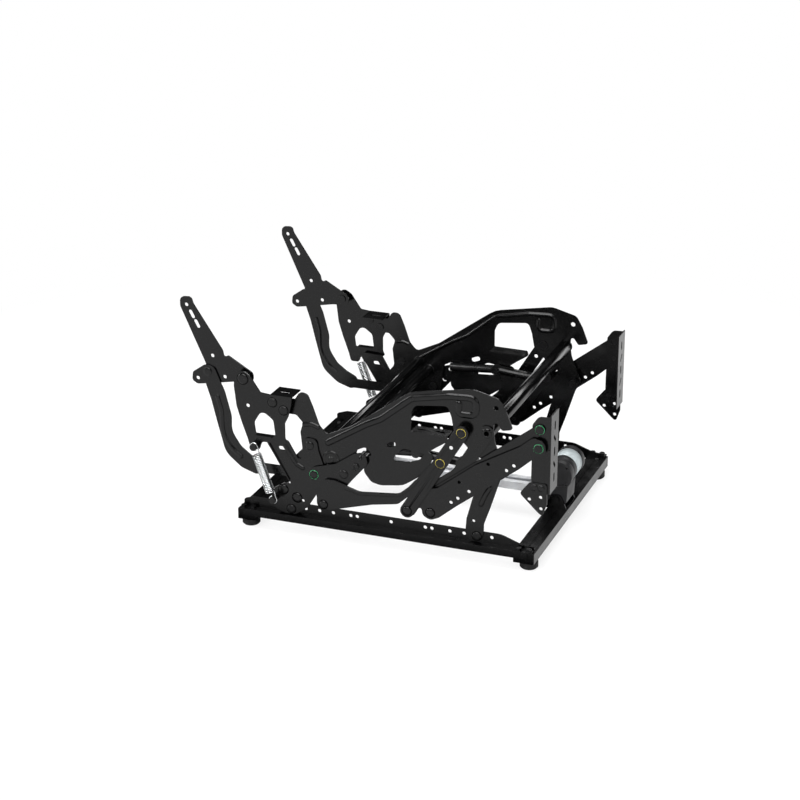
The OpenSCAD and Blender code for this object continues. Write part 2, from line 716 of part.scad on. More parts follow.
module seat_plate(left) {
    body = outline([
        off(back_pivot, 56, -66, 6), off(back_pivot, 56, -32, 6), off(rear_top, -32, 94, 4),
        off(rear_top, -22, 110, 10), off(rear_top, -5, 110, 12), off(rear_top, 7, 82, 10),
        off(rear_top, 20, 45, 20), off(rear_top, 36, 28, 10), off(rear_top, 87, 52, 40),
        off(rest_rear, -111, 65, 60), off(rest_rear, 18, 88, 30), off(rest_front, 24, 72, 16),
        off(rest_front, 38, 48, 12), off(rest_front, 52, 13, 5), off(rest_front, 30, 8, 5),
        off(rest_front, 14, 30, 8), off(rest_front, 12, 4, 16), off(rest_front, 16, -20, 30),
        off(front_top, 17, 3, 14), off(front_top, 2, -18, 12), off(front_top, -16, -10, 10),
        off(front_top, -33, 24, 10), off(rest_rear, 22, -50, 8), off(rest_rear, -8, -18, 10),
        off(rest_rear, -20, -8, 12), off(rest_rear, -26, 24, 14), off(rest_rear, -34, 46, 10),
        off(rest_rear, -102, 38, 14), off(rest_rear, -110, 20, 8), off(rest_rear, -110, -17, 2),
        off(rest_rear, -36, -18, 3), off(rest_rear, -32, -28, 6), off(rest_rear, -56, -44, 12),
        off(rest_rear, -82, -63, 16), off(rest_rear, -126, -56, 14), off(crank_pivot, 106, 54, 10),
        off(crank_pivot, 102, 36, 10), off(crank_pivot, 60, 44, 14), off(crank_pivot, 46, 64, 10),
        off(crank_pivot, 26, 54, 8), off(crank_pivot, 22, 36, 8), off(crank_pivot, 18, -4, 12),
        off(crank_pivot, 0, -18, 14), off(crank_pivot, -20, -6, 12),
        off(rear_top, 22, -46, 12), off(rear_top, 10, -30, 10), off(lever_pivot, 19, 18, 10),
        off(lever_pivot, 15, -8, 10), off(lever_pivot, 0, -15, 13), off(lever_pivot, -17, -4, 12),
        off(lever_pivot, -13, 20, 12), off(rear_top, -17, -12, 12), off(rear_top, -21, 26, 10),
        off(rear_top, -15, 46, 8), off(rear_top, -29, 61, 6)]);
    spine = route([off(rear_top, 39, 11, 0), off(rear_top, 119, 61, 60), off(rear_top, 151, 77, 50),
        off(rest_rear, -109, 52, 30), off(rest_rear, -33, 67, 30), off(rest_rear, 24, 70, 16),
        off(rest_rear, 25, 33, 15), off(rest_rear, -12, 33, 15), off(rest_rear, -11, 54, 0)]);
    keel = outline([
        off(crank_pivot, 38, 40, 8), off(crank_pivot, 41, 8, 14), off(crank_pivot, 56, -11, 16),
        off(crank_pivot, 76, -15, 30), off(crank_pivot, 124, -8, 40), off(rest_rear, -96, -115, 40),
        off(rest_rear, -72, -92, 30), off(rest_rear, -62, -62, 10), off(rest_rear, -77, -56, 6),
        off(rest_rear, -92, -76, 12), off(rest_rear, -114, -84, 20), off(crank_pivot, 104, 42, 6),
        off(crank_pivot, 68, 50, 8)]);
    tab_z = rest_z - 18;
    tab_x = rest_x - 111;
    color(black) sided(left)
        difference() {
            union() {
                plate(0, body);
                plate(0, keel);
                rib(0, spine, spine_w, spine_h);
                rib(0, route([off(rear_top, -12, 43, 0), off(rear_top, 4, 46, 20),
                    off(rear_top, 17, 41, 0)]));
                translate([tab_x, -outer_y(0) + 0.3, tab_z - sheet_t])
                    cube([75, sheet_t + front_flange_d, sheet_t]);
            }
            hole(0, rear_top, rivet_r + fix_clear);
            hole(0, front_top, rivet_r + fix_clear);
            hole(0, rest_rear, rivet_r + fix_clear);
            hole(0, rest_front, journal_r + run_clear);
            hole(0, lever_pivot, rivet_r + fix_clear);
            hole(0, crank_pivot, rivet_r + fix_clear);
            hole(0, rest_front + [17, 53], 5);
            hole(0, rest_rear + [29, -8], 4.5);
            slot(0, crank_pivot + [98, 76], 5, 20, 20);
            for (x = [tab_x + 17.5, tab_x + 57.5])
                translate([x, -layer_y(0) + front_flange_d / 2, tab_z - sheet_t - 1])
                    long_hole(flange_hole_r, flange_slot, sheet_t + 2);
            for (p = spacer_points)
                hole(0, p, rivet_r + fix_clear);
        }
}

module seat_plate_right() {
    seat_plate(false);
}

module seat_plate_left() {
    seat_plate(true);
}

rear_tab_x = back_x + 59;
rear_tab_z = back_z - 26;
spacer_points = [back_pivot + [64, -42], back_pivot + [88, -56]];

module back_support(left) {
    body = outline([
        off(back_pivot, -18, 6, 14), off(back_pivot, -1, 19, 14), off(back_pivot, 16, 8, 12),
        off(back_pivot, 38, -24, 6), off(back_pivot, 58, -26, 3), off(back_pivot, 106, -26, 3),
        off(back_pivot, 104, -44, 6), off(arch_foot, 79, 76, 8), off(arch_foot, 71, 60, 10),
        off(arch_foot, 71, 28, 8), off(arch_foot, 77, 16, 6), off(arch_foot, 45, 14, 6),
        off(arch_foot, 20, 14, 8), off(arch_foot, 14, -5, 6), off(arch_foot, -5, -5, 6),
        off(arch_foot, -11, 16, 8), off(arch_foot, -24, 52, 20), off(back_pivot, -15, -60, 30),
        off(back_pivot, -20, -17, 20)]);
    arch = outline([
        off(arch_foot, 7, 31, 3), off(arch_foot, 4, 54, 12), off(back_pivot, 40, -62, 12),
        off(arch_foot, 46, 64, 12), off(arch_foot, 50, 31, 3)]);
    color(black) sided(left)
        difference() {
            union() {
                plate(3, body);
                translate([rear_tab_x, -outer_y(3) + 0.3, rear_tab_z - sheet_t])
                    cube([46, sheet_t + rear_flange_d, sheet_t]);
                translate([arch_foot[0] + 10, -layer_y(3) - 14, arch_foot[1] + 31 - sheet_t])
                    cube([36, 13, sheet_t]);
                bar(spring_high, layer_y(3) + 0.3, spring_y + 4.2, stud_r);
                bar(spring_high, spring_y + 4, spring_y + 6, stud_r + 1.2);
            }
            sheet(layer_y(3) - 1, sheet_t + 2, arch);
            hole(3, back_pivot, rivet_r + fix_clear);
            hole(3, back_pivot + [10, -56], 4);
            for (p = spacer_points)
                hole(3, p, rivet_r + fix_clear);
            translate([rear_tab_x + 23, -layer_y(3) + rear_flange_d / 2, rear_tab_z - sheet_t - 1])
                long_hole(flange_hole_r, flange_slot + 6, sheet_t + 2);
        }
}

module back_support_right() {
    back_support(false);
}

module back_support_left() {
    back_support(true);
}

module rear_tube_upper() {
    color(black) placed()
        tube(tube_upper, layer_y(0), seat_tube_r);
}

module rear_tube_lower() {
    color(black) placed()
        tube(tube_lower, layer_y(0), seat_tube_r);
}

// A bent brace runs along the inner face of each seat plate and stands on two stubs
brace_points = [crank_pivot + [44, 55], rest_rear + [-102, -65], rest_rear + [-8, -73],
    rest_rear + [16, -67]];
brace_run = brace_points[1] - brace_points[0];
brace_stubs = [brace_points[0] + 0.2 * brace_run, brace_points[0] + 0.5 * brace_run];
brace_y = layer_y(0) - 0.8 - brace_r;

module plate_spacers() {
    color(zinc) for (left = [false, true]) sided(left)
        for (p = spacer_points) {
            bar(p, layer_y(0) - 0.2, outer_y(3) + 0.2, rivet_r);
            bar(p, outer_y(0), layer_y(3), shoulder_r + 1);
            head(p, outer_y(3), rivet_head_r);
            inner_head(p, layer_y(0), rivet_head_r);
        }
    color(black) for (left = [false, true]) sided(left)
        union() {
            for (i = [0:2])
                rod(brace_points[i], brace_points[i + 1], brace_y, brace_r);
            for (p = brace_stubs)
                bar(p, brace_y, layer_y(0), brace_r - 2);
        }
}

module seat_rivets() {
    color(zinc) for (left = [false, true]) sided(left) {
        bar(rear_top, layer_y(0) - 0.2, outer_y(1) + side_clear + 0.2, rivet_r);
        head(rear_top, outer_y(1) + side_clear, rivet_head_r);
        inner_head(rear_top, layer_y(0), rivet_head_r);
        bar(front_top, layer_y(-1) - side_clear - 0.2, outer_y(0), rivet_r);
        inner_head(front_top, layer_y(-1) - side_clear, rivet_head_r);
        bar(rest_rear, layer_y(0) - 0.2, outer_y(4) + side_clear + 0.2, rivet_r);
        bar(rest_rear, outer_y(0), layer_y(4) - side_clear, shoulder_r);
        head(rest_rear, outer_y(4) + side_clear, rivet_head_r);
        inner_head(rest_rear, layer_y(0), rivet_head_r);
        bar(crank_pivot, layer_y(0) - 0.2, outer_y(2) + side_clear + 0.2, rivet_r);
        bar(crank_pivot, outer_y(0), layer_y(2) - side_clear, shoulder_r);
        head(crank_pivot, outer_y(2) + side_clear, rivet_head_r);
        inner_head(crank_pivot, layer_y(0), rivet_head_r);
        bar(lever_pivot, layer_y(-1) - side_clear - 0.2, outer_y(0), rivet_r);
        inner_head(lever_pivot, layer_y(-1) - side_clear, rivet_head_r);
        bar(back_pivot, layer_y(-1) - side_clear - 0.2, outer_y(3) + 0.2, rivet_r);
        bar(back_pivot, outer_y(-1) + side_clear, layer_y(3), shoulder_r + 1.5);
        head(back_pivot, outer_y(3), rivet_head_r + 2);
        inner_head(back_pivot, layer_y(-1) - side_clear, rivet_head_r);
    }
}

// Footrest links

module front_footrest_link(left) {
    body = outline([
        off(rest_front, 20.6, 4.9, 14), off(rest_front, -5, 20.6, 14), off(front_mid, 43, 58, 20),
        off(front_mid, -13, 15, 10), off(front_low, -15, 18, 12), off(front_low, -16, -14, 13),
        off(front_low, 12, -16, 13), off(front_low, 16, 0, 12)]);
    color(black) sided(left)
        difference() {
            plate(1, body);
            hole(1, rest_front, journal_r + fix_clear);
            hole(1, front_mid, rivet_r + fix_clear);
            hole(1, front_low, rivet_r + fix_clear);
        }
}

module front_footrest_link_right() {
    front_footrest_link(false);
}

module front_footrest_link_left() {
    front_footrest_link(true);
}

module footrest_torque_tube() {
    inner = layer_y(0) - side_clear;
    color(black) placed()
        difference() {
            union() {
                bar(rest_front, -inner, inner, torque_tube_r);
                bar(rest_front, -outer_y(1) - 0.2, outer_y(1) + 0.2, journal_r);
                for (s = [0, 1])
                    mirror([0, s, 0])
                        head(rest_front, outer_y(1), rivet_head_r + 1);
            }
            bar(rest_front, 12 - inner, inner - 12, torque_tube_r - tube_wall);
            bar(rest_front, -outer_y(2), outer_y(2), journal_r - 3);
        }
}

module front_link_rivets() {
    color(zinc) for (left = [false, true]) sided(left) {
        bar(front_mid, layer_y(1), outer_y(2) + side_clear + 0.2, rivet_r);
        head(front_mid, outer_y(2) + side_clear, rivet_head_r);
        bar(front_low, layer_y(1), outer_y(3) + side_clear + 0.2, rivet_r);
        bar(front_low, outer_y(1), layer_y(3) - side_clear, shoulder_r);
        head(front_low, outer_y(3) + side_clear, rivet_head_r);
    }
}

module rear_footrest_link(left) {
    color(black) sided(left)
        difference() {
            plate(4, link(rest_rear, rear_link_r, rear_low, rear_link_r));
            hole(4, rest_rear, rivet_r + run_clear);
            hole(4, drive_bush, rivet_r + fix_clear);
            hole(4, rear_low, rivet_r + fix_clear);
            hole(4, rest_rear + rest_v * crank_len * 0.48, 4);
        }
}

module rear_footrest_link_right() {
    rear_footrest_link(false);
}

module rear_footrest_link_left() {
    rear_footrest_link(true);
}

module rear_link_rivets(left) {
    color(zinc) sided(left)
        for (p = [rear_low, drive_bush]) {
            bar(p, layer_y(3), outer_y(4) + 0.2, rivet_r);
            head(p, outer_y(4), rivet_head_r);
        }
}

module rear_link_rivets_right() {
    rear_link_rivets(false);
}

module rear_link_rivets_left() {
    rear_link_rivets(true);
}

arm_holes = [[119, 122], [171, 126], [156, 114], [43, 29], [57, 40], [80, 58], [60, 75]];

module outer_footrest_arm(left) {
    body = outline([
        off(rear_low, -13, 8, 12), off(rear_low, 4, 18, 10), off(front_low, -8, 50, 10),
        off(front_low, 14, 55, 8), off(toe_low, -129, -54, 40), off(toe_low, -39, -2, 30),
        off(toe_low, -12, 21, 12), off(toe_low, 12, 15, 13), off(toe_low, 16, -11, 13),
        off(toe_low, -6, -19, 10), off(toe_low, -38, -48, 20), off(toe_low, -79, -80, 30),
        off(front_low, 55, 23, 20), off(front_low, 18, -8, 12), off(front_low, 0, -16, 13),
        off(front_low, -16, -8, 12), off(front_low, -20, 14, 8), off(rear_low, 14, -8, 10),
        off(rear_low, 2, -14, 12), off(rear_low, -13, -8, 12)]);
    color(black) sided(left)
        difference() {
            plate(3, body);
            hole(3, rear_low, rivet_r + loop_clear);
            hole(3, front_low, rivet_r + run_clear);
            hole(3, toe_low, rivet_r + run_clear);
            for (h = arm_holes)
                hole(3, front_low + h, 3.6);
        }
}

module outer_footrest_arm_right() {
    outer_footrest_arm(false);
}

module outer_footrest_arm_left() {
    outer_footrest_arm(true);
}

module upper_footrest_arm(left) {
    color(black) sided(left)
        difference() {
            plate(2, link(front_mid, upper_link_r, toe_high, upper_link_r));
            hole(2, front_mid, rivet_r + run_clear);
            hole(2, toe_high, rivet_r + loop_clear);
        }
}

module upper_footrest_arm_right() {
    upper_footrest_arm(false);
}

module upper_footrest_arm_left() {
    upper_footrest_arm(true);
}

flange_low = toe_high[1] - 134;
flange_high = toe_high[1] + 29;

module footrest_bracket(left) {
    x = rest_face_x;
    web = outline([[x - 36, flange_low, 6], [x - 9, flange_low, 6], [x - 9, toe_low[1] - 10, 6],
        [x + 0.4, toe_low[1] - 2, 1], [x + 0.4, flange_high - 3, 0.5], off(toe_high, -4, 25, 12),
        off(toe_high, -16, 8, 12), off(toe_low, -16, -6, 18)]);
    color(black) sided(left)
        difference() {
            union() {
                plate(1, web);
                translate([x, -outer_y(1) + 0.3, flange_low])
                    cube([sheet_t, sheet_t + rest_flange_d, flange_high - flange_low]);
                translate([x - 9.4, -outer_y(1) + 0.3, flange_low])
                    cube([9.8, sheet_t - 0.6, toe_low[1] - 6 - flange_low]);
            }
            hole(1, toe_high, rivet_r + fix_clear);
            hole(1, toe_low, rivet_r + fix_clear);
            for (p = toe_rivets)
                hole(1, p, rivet_r + fix_clear);
            for (z = [0, 1, 2])
                translate([x - 1, -layer_y(1) + rest_flange_d / 2, flange_low + 28 + 54 * z])
                    rotate([0, 90, 0])
                        long_hole(flange_hole_r, flange_slot, sheet_t + 2);
            for (z = [0, 1])
                translate([x - 1, -layer_y(1) + rest_flange_d / 2, flange_low + 55 + 54 * z])
                    rotate([0, 90, 0])
                        rotate([0, 0, 40]) long_hole(flange_hole_r, flange_slot, sheet_t + 2);
        }
}

module footrest_bracket_right() {
    footrest_bracket(false);
}

module footrest_bracket_left() {
    footrest_bracket(true);
}

toe_rivets = [[rest_face_x - 14, flange_low + 12], [rest_face_x - 28, flange_low + 12]];

module footrest_rivets(left) {
    color(zinc) sided(left) {
        bar(toe_high, layer_y(1), outer_y(2) + side_clear + 0.2, rivet_r);
        head(toe_high, outer_y(2) + side_clear, rivet_head_r);
        bar(toe_low, layer_y(1), outer_y(3) + side_clear + 0.2, rivet_r);
        bar(toe_low, outer_y(1), layer_y(3) - side_clear, shoulder_r);
        head(toe_low, outer_y(3) + side_clear, rivet_head_r);
        for (p = toe_rivets) {
            bar(p, layer_y(1), outer_y(1) + sheet_t + 0.2, rivet_r);
            head(p, outer_y(1) + sheet_t, rivet_head_r - 2);
        }
    }
}

module footrest_rivets_right() {
    footrest_rivets(false);
}

module footrest_rivets_left() {
    footrest_rivets(true);
}

module toe_plate(left) {
    x = rest_face_x;
    shape = outline([[x - 58, flange_low - 4, 7], [x - 38, flange_low + 22, 8], [x - 3, flange_low + 22, 6],
        [x - 2, flange_low - 20, 9], [x - 11, flange_low - 47, 8], [x - 22, flange_low - 38, 10]]);
    color(black) sided(left)
        difference() {
            sheet(outer_y(1), sheet_t, shape);
            for (p = [[x - 15, flange_low - 7], [x - 38, flange_low - 14], [x - 14, flange_low - 31]])
                bar(p, outer_y(1) - 1, outer_y(1) + sheet_t + 1, flange_hole_r);
            for (p = toe_rivets)
                bar(p, outer_y(1) - 1, outer_y(1) + sheet_t + 1, rivet_r + fix_clear);
        }
}

module toe_plate_right() {
    toe_plate(false);
}

module toe_plate_left() {
    toe_plate(true);
}

// Drive linkage

module drive_crank(left) {
    body = outline([
        off(crank_low, -14, -8, 12), off(crank_low, 11, -14, 12), off(crank_low, 29, 18, 12),
        off(crank_pivot, 16, -12, 14), off(crank_pivot, 52, 30, 14), off(crank_pivot, 44, 54, 14),
        off(crank_pivot, 22, 48, 12), off(crank_pivot, -18, 20, 20), off(crank_pivot, -68, 6, 14),
        off(crank_low, -35, 58, 12), off(crank_low, -21, 42, 14)]);
    color(black) sided(left)
        difference() {
            union() {
                plate(2, body);
                head(crank_pivot + [-65, -10], outer_y(2), rivet_head_r);
            }
            hole(2, crank_pivot, rivet_r + run_clear);
            hole(2, crank_low, rivet_r + fix_clear);
            hole(2, crank_pivot + [24, 17], 5);
            hole(2, crank_pivot + [37, 42], 4.5);
        }
}

module drive_crank_right() {
    drive_crank(false);
}

module drive_crank_left() {
    drive_crank(true);
}

module drive_tube() {
    color(black) placed()
        tube(drive_axis, layer_y(2), drive_tube_r);
}

module crank_rivets() {
    color(zinc) for (left = [false, true]) sided(left) {
        bar(crank_low, layer_y(2), outer_y(3) + side_clear + 0.2, rivet_r);
        bar(crank_low, outer_y(2), layer_y(3) - side_clear, shoulder_r);
        head(crank_low, outer_y(3) + side_clear, rivet_head_r);
    }
}

module drive_link(left) {
    body = outline([
        off(crank_low, -14, -8, 12), off(crank_low, -14, 18, 14), off(crank_low, 3, 56, 12),
        off(crank_low, 25, 56, 12), off(crank_low, 79, 40, 30), off(rear_low, -16, 33, 30),
        off(rear_low, 6, 54, 20), off(drive_bush, -13, 4, 12), off(drive_bush, -1, 16, 12),
        off(drive_bush, 15, -2, 12), off(drive_bush, 3, -16, 10), off(rear_low, 18, 45, 20),
        off(rear_low, -20, 10, 20), off(rear_low, -76, 0, 30), off(crank_low, 14, -10, 12)]);
    color(black) sided(left)
        difference() {
            plate(3, body);
            hole(3, crank_low, rivet_r + run_clear);
            hole(3, drive_bush, rivet_r + loop_clear);
        }
}

module drive_link_right() {
    drive_link(false);
}

module drive_link_left() {
    drive_link(true);
}

// Back linkage

module back_bracket(left) {
    body = outline([
        off(back_pivot, -141, 152, 12), off(back_pivot, -116, 154, 10), off(back_pivot, -112, 140, 10),
        off(back_pivot, -50, 48, 8), off(back_pivot, -47, 34, 4), off(back_pivot, -38, 39, 5),
        off(back_pivot, 16, 8, 12), off(back_pivot, 16, -12, 14), off(back_pivot, -22, -15, 30),
        off(back_pivot, -84, -27, 10), off(back_pivot, -108, -31, 8), off(back_pivot, -120, -24, 8),
        off(back_pivot, -118, -6, 8), off(back_pivot, -94, 11, 6), off(back_pivot, -87, 13, 3),
        off(back_pivot, -92, 24, 4), off(back_pivot, -141, 132, 12)]);
    color(black) sided(left)
        difference() {
            union() {
                plate(-1, body);
                bar(back_link_top, outer_y(-1) - 0.3, outer_y(0) + side_clear + 0.2, rivet_r);
                head(back_link_top, outer_y(0) + side_clear, rivet_head_r);
            }
            hole(-1, back_pivot, rivet_r + run_clear);
            for (p = [[-127, 136], [-73, 34], [-47, -8], [-107, -18]])
                hole(-1, back_pivot + p, back_hole_r);
            slot(-1, back_pivot + [-116, 117], back_hole_r, 19.5, -62);
            slot(-1, back_pivot + [-105, 98], back_hole_r, 19.5, -62);
        }
}

module back_bracket_right() {
    back_bracket(false);
}

module back_bracket_left() {
    back_bracket(true);
}

module back_link(left) {
    body = outline([
        off(back_link_top, -15, 4, 12), off(back_link_top, -4, -30, 30), off(back_link_top, 6, -60, 60),
        off(back_link_top, 17, -104, 40), off(back_link_low, -72, 24, 40),
        off(back_link_low, -38, -4, 30), off(back_link_low, -4, -15, 12), off(back_link_low, 14, -4, 12),
        off(back_link_low, 8, 14, 12), off(back_link_low, -16, 26, 20), off(back_link_low, -38, 42, 30),
        off(back_link_low, -58, 72, 40), off(back_link_top, 50, -90, 40),
        off(back_link_top, 36, -38, 40), off(back_link_top, 27, -18, 20), off(back_link_top, 15, 10, 12),
        off(back_link_top, -5, 16, 12)]);
    color(black) sided(left)
        difference() {
            union() {
                plate(0, body);
                rib(0, route([off(back_link_top, 20, -52, 0), off(back_link_top, 28, -80, 60),
                    off(back_link_low, -78, 65, 60), off(back_link_low, -58, 34, 60),
                    off(back_link_low, -38, 20, 0)]));
            }
            hole(0, back_link_top, rivet_r + run_clear);
            hole(0, back_link_low, rivet_r + loop_clear);
        }
}

module back_link_right() {
    back_link(false);
}

module back_link_left() {
    back_link(true);
}

module back_lever(left) {
    color(black) sided(left)
        difference() {
            union() {
                plate(-1, link(lever_pivot, lever_r, back_link_low, lever_r));
                bar(back_link_low, layer_y(-1) + 0.3, outer_y(0), rivet_r);
            }
            hole(-1, lever_pivot, rivet_r + run_clear);
        }
}

module back_lever_right() {
    back_lever(false);
}

module back_lever_left() {
    back_lever(true);
}

echo(spring_self_gap_mm = least_gap(spring_path()));

front_cross_rail();
rear_cross_rail();
base_rail_right();
base_rail_left();
corner_bolts();
feet();
base_rivets();
motor_bracket();
gearbox();
drive_motor();
motor_end_cap();
actuator_track();
lead_screw();
track_end_cap();
drive_carriage();
rear_swing_link_right();
rear_swing_link_left();
rear_swing_tube();
return_spring_right();
return_spring_left();
front_swing_link_right();
front_swing_link_left();
seat_plate_right();
seat_plate_left();
back_support_right();
back_support_left();
rear_tube_upper();
rear_tube_lower();
plate_spacers();
seat_rivets();
front_footrest_link_right();
front_footrest_link_left();
footrest_torque_tube();
front_link_rivets();
rear_footrest_link_right();
rear_footrest_link_left();
rear_link_rivets_right();
rear_link_rivets_left();
outer_footrest_arm_right();
outer_footrest_arm_left();
upper_footrest_arm_right();
upper_footrest_arm_left();
footrest_bracket_right();
footrest_bracket_left();
footrest_rivets_right();
footrest_rivets_left();
toe_plate_right();
toe_plate_left();
drive_crank_right();
drive_crank_left();
drive_tube();
crank_rivets();
drive_link_right();
drive_link_left();
back_bracket_right();
back_bracket_left();
back_link_right();
back_link_left();
back_lever_right();
back_lever_left();
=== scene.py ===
"""Looks for a power recliner mechanism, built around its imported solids."""

import json
import math

import bpy
from mathutils import Matrix, Vector


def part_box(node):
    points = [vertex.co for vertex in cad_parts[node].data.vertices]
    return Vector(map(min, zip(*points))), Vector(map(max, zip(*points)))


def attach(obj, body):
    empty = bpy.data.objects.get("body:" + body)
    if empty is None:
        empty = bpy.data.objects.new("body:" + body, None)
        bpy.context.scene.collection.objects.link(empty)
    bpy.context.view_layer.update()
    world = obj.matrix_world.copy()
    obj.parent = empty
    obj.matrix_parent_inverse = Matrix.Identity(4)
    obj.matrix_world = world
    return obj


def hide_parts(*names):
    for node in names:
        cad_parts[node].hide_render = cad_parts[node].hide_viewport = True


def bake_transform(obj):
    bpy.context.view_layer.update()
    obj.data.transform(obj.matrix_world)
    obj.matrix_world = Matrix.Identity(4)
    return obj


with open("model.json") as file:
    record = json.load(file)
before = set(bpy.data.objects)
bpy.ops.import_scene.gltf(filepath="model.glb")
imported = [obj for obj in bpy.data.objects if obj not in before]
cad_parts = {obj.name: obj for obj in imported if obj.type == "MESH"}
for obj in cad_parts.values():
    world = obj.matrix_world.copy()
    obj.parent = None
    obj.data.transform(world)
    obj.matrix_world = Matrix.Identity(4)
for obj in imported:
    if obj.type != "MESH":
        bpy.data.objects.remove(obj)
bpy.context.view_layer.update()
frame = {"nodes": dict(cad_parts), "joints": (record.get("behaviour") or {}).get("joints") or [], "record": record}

bl_info = {
    "name": "Recliner Mechanism",
    "version": (1, 0, 0),
    "blender": (4, 5, 0),
    "location": "View3D > Sidebar > Recliner",
    "description": "Finishes, springs, washers, welds and stage for a power recliner mechanism",
    "category": "Object",
}

NODES = frame["nodes"]
BODY_OF = {n: b for b, ns in frame["record"]["behaviour"]["bodies"].items() for n in ns}
SLOT_OF = {s["node"]: s["material_slot"] for s in frame["record"]["subparts"]}
JOINT_AT = {j["name"]: j.get("pos_m") for j in frame["joints"]}
SIDES = (("right", -1.0), ("left", 1.0))

# Plate layers along Y, inner faces, counted outward from the seat plate
SHEET = 0.0026
LAYER = {-2: 0.2508, -1: 0.2544, 0: 0.2580, 1: 0.2616, 2: 0.2652, 3: 0.2712, 4: 0.2748}

# Steps in X and Z from a joint's axis to a fitting
SPRING_LOW = (-0.031, 0.024)
SPRING_HIGH = (0.026, -0.139)
CRANK_BOSS = (-0.065, -0.010)
CRANK_NUT = (0.026, 0.021)
PLATE_BOSS = (-0.030, 0.025)
SWING_STUD = (-0.017, 0.041)
SWING_TUBE = (0.013, 0.027)
SPACER_HIGH = (0.064, -0.042)
SPACER_LOW = (0.088, -0.056)
TOE_LOW = (0.220, 0.169)
TOE_STEP = (0.0, 0.037)
BACK_LINK = (-0.083, 0.0)
# Reach and turn of the drive link's bush, from the pivot of the rear footrest link
BUSH_REACH = 0.082
BUSH_TURN = math.radians(-121.6)

# Radius and height of each ring of a turned fitting
NUT_PROFILE = [(0.0086, 0.0), (0.0086, 0.0007), (0.0072, 0.0007), (0.0072, 0.0024),
               (0.0066, 0.0028), (0.0042, 0.0028), (0.0042, 0.0018)]
BOSS_PROFILE = [(0.0185, 0.0), (0.0175, 0.0007), (0.0140, 0.0007), (0.0132, 0.0002),
                (0.0060, 0.0002), (0.0054, 0.0007)]

# Middle of the picture, along the camera's right and up
VIEW_RIGHT, VIEW_UP = -0.05897, 0.2096


def pivot(joint):
    """X and Z of a joint's axis."""
    p = JOINT_AT[joint]
    return p[0], p[2]


def stepped(point, step):
    return point[0] + step[0], point[1] + step[1]


def node_middle(node):
    low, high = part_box(node)
    return (low + high) / 2


# Settings


class RECLINER_FinishSettings(bpy.types.PropertyGroup):
    coat_colour: bpy.props.FloatVectorProperty(
        name="Coat", description="Colour of the black coat on the plates", subtype="COLOR",
        size=3, min=0, max=1, default=(0.0008, 0.0008, 0.0009))
    coat_low: bpy.props.FloatProperty(
        name="Smoothest coat", description="Roughness of the coat where it is smoothest",
        default=0.15, min=0, max=1)
    coat_high: bpy.props.FloatProperty(
        name="Roughest coat", description="Roughness of the coat where it is dullest",
        default=0.28, min=0, max=1)
    edge_round: bpy.props.FloatProperty(
        name="Edge rounding", description="Rounding of the sheared sheet edges", unit="LENGTH",
        default=0.0006, min=0, max=0.001)
    zinc_colour: bpy.props.FloatVectorProperty(
        name="Zinc", description="Colour of the plated springs", subtype="COLOR",
        size=3, min=0, max=1, default=(0.78, 0.80, 0.81))
    track_colour: bpy.props.FloatVectorProperty(
        name="Track", description="Colour of the extruded track", subtype="COLOR",
        size=3, min=0, max=1, default=(0.70, 0.71, 0.73))


class RECLINER_SpringSettings(bpy.types.PropertyGroup):
    wire: bpy.props.FloatProperty(
        name="Wire", description="Wire diameter", unit="LENGTH", default=0.0026, min=0.001)
    outside: bpy.props.FloatProperty(
        name="Outside diameter", description="Outside diameter of the winding",
        unit="LENGTH", default=0.020)
    curls: bpy.props.IntProperty(name="Curls", description="Number of curls", default=23, min=4, max=40)
    pitch: bpy.props.FloatProperty(
        name="Pitch", description="Distance between neighbouring curls",
        unit="LENGTH", default=0.0036)
    stud: bpy.props.FloatProperty(
        name="Stud radius", description="Radius of the studs that hold the eyes",
        unit="LENGTH", default=0.006)
    axis_y: bpy.props.FloatProperty(
        name="Axis", description="Distance from the middle plane to the spring axis",
        unit="LENGTH", default=0.2848)


class RECLINER_TrimSettings(bpy.types.PropertyGroup):
    washer_green: bpy.props.FloatVectorProperty(
        name="Green washers", description="Colour of the green nylon washers", subtype="COLOR",
        size=3, min=0, max=1, default=(0.03, 0.34, 0.12))
    washer_yellow: bpy.props.FloatVectorProperty(
        name="Yellow washers", description="Colour of the yellow nylon washers", subtype="COLOR",
        size=3, min=0, max=1, default=(0.60, 0.48, 0.06))
    washer_r: bpy.props.FloatProperty(
        name="Washer radius", description="Outside radius of a coloured washer",
        unit="LENGTH", default=0.0096)
    # Painted shade: outside radius of the near-black rings that stand in for the contact shade round the heads
    shade_ring_r: bpy.props.FloatProperty(
        name="Black washer radius", description="Outside radius of a black washer",
        unit="LENGTH", default=0.0106)
    weld_r: bpy.props.FloatProperty(
        name="Weld size", description="Radius of a weld bead at a tube end",
        unit="LENGTH", default=0.0019)
    bead_r: bpy.props.FloatProperty(
        name="Bead radius", description="Radius of the inner side of a pressed rib",
        unit="LENGTH", default=0.0040)
    thread_pitch: bpy.props.FloatProperty(
        name="Thread pitch", description="Pitch of the lead screw", unit="LENGTH", default=0.005)


class RECLINER_StageSettings(bpy.types.PropertyGroup):
    azimuth: bpy.props.FloatProperty(
        name="Azimuth", description="Turn of the camera round the object", subtype="ANGLE",
        default=math.radians(20.66))
    elevation: bpy.props.FloatProperty(
        name="Elevation", description="Height angle of the camera", subtype="ANGLE",
        default=math.radians(21.36))
    distance: bpy.props.FloatProperty(
        name="Distance", description="Distance of the camera", unit="LENGTH", default=4.74588)
    lens: bpy.props.FloatProperty(name="Lens", description="Focal length in millimetres", default=100.98)
    floor_colour: bpy.props.FloatVectorProperty(
        name="Floor", description="Colour of the floor", subtype="COLOR", size=3, min=0, max=1,
        default=(0.93, 0.93, 0.93))


# Node helpers and shader groups


FLOAT = "NodeSocketFloat"


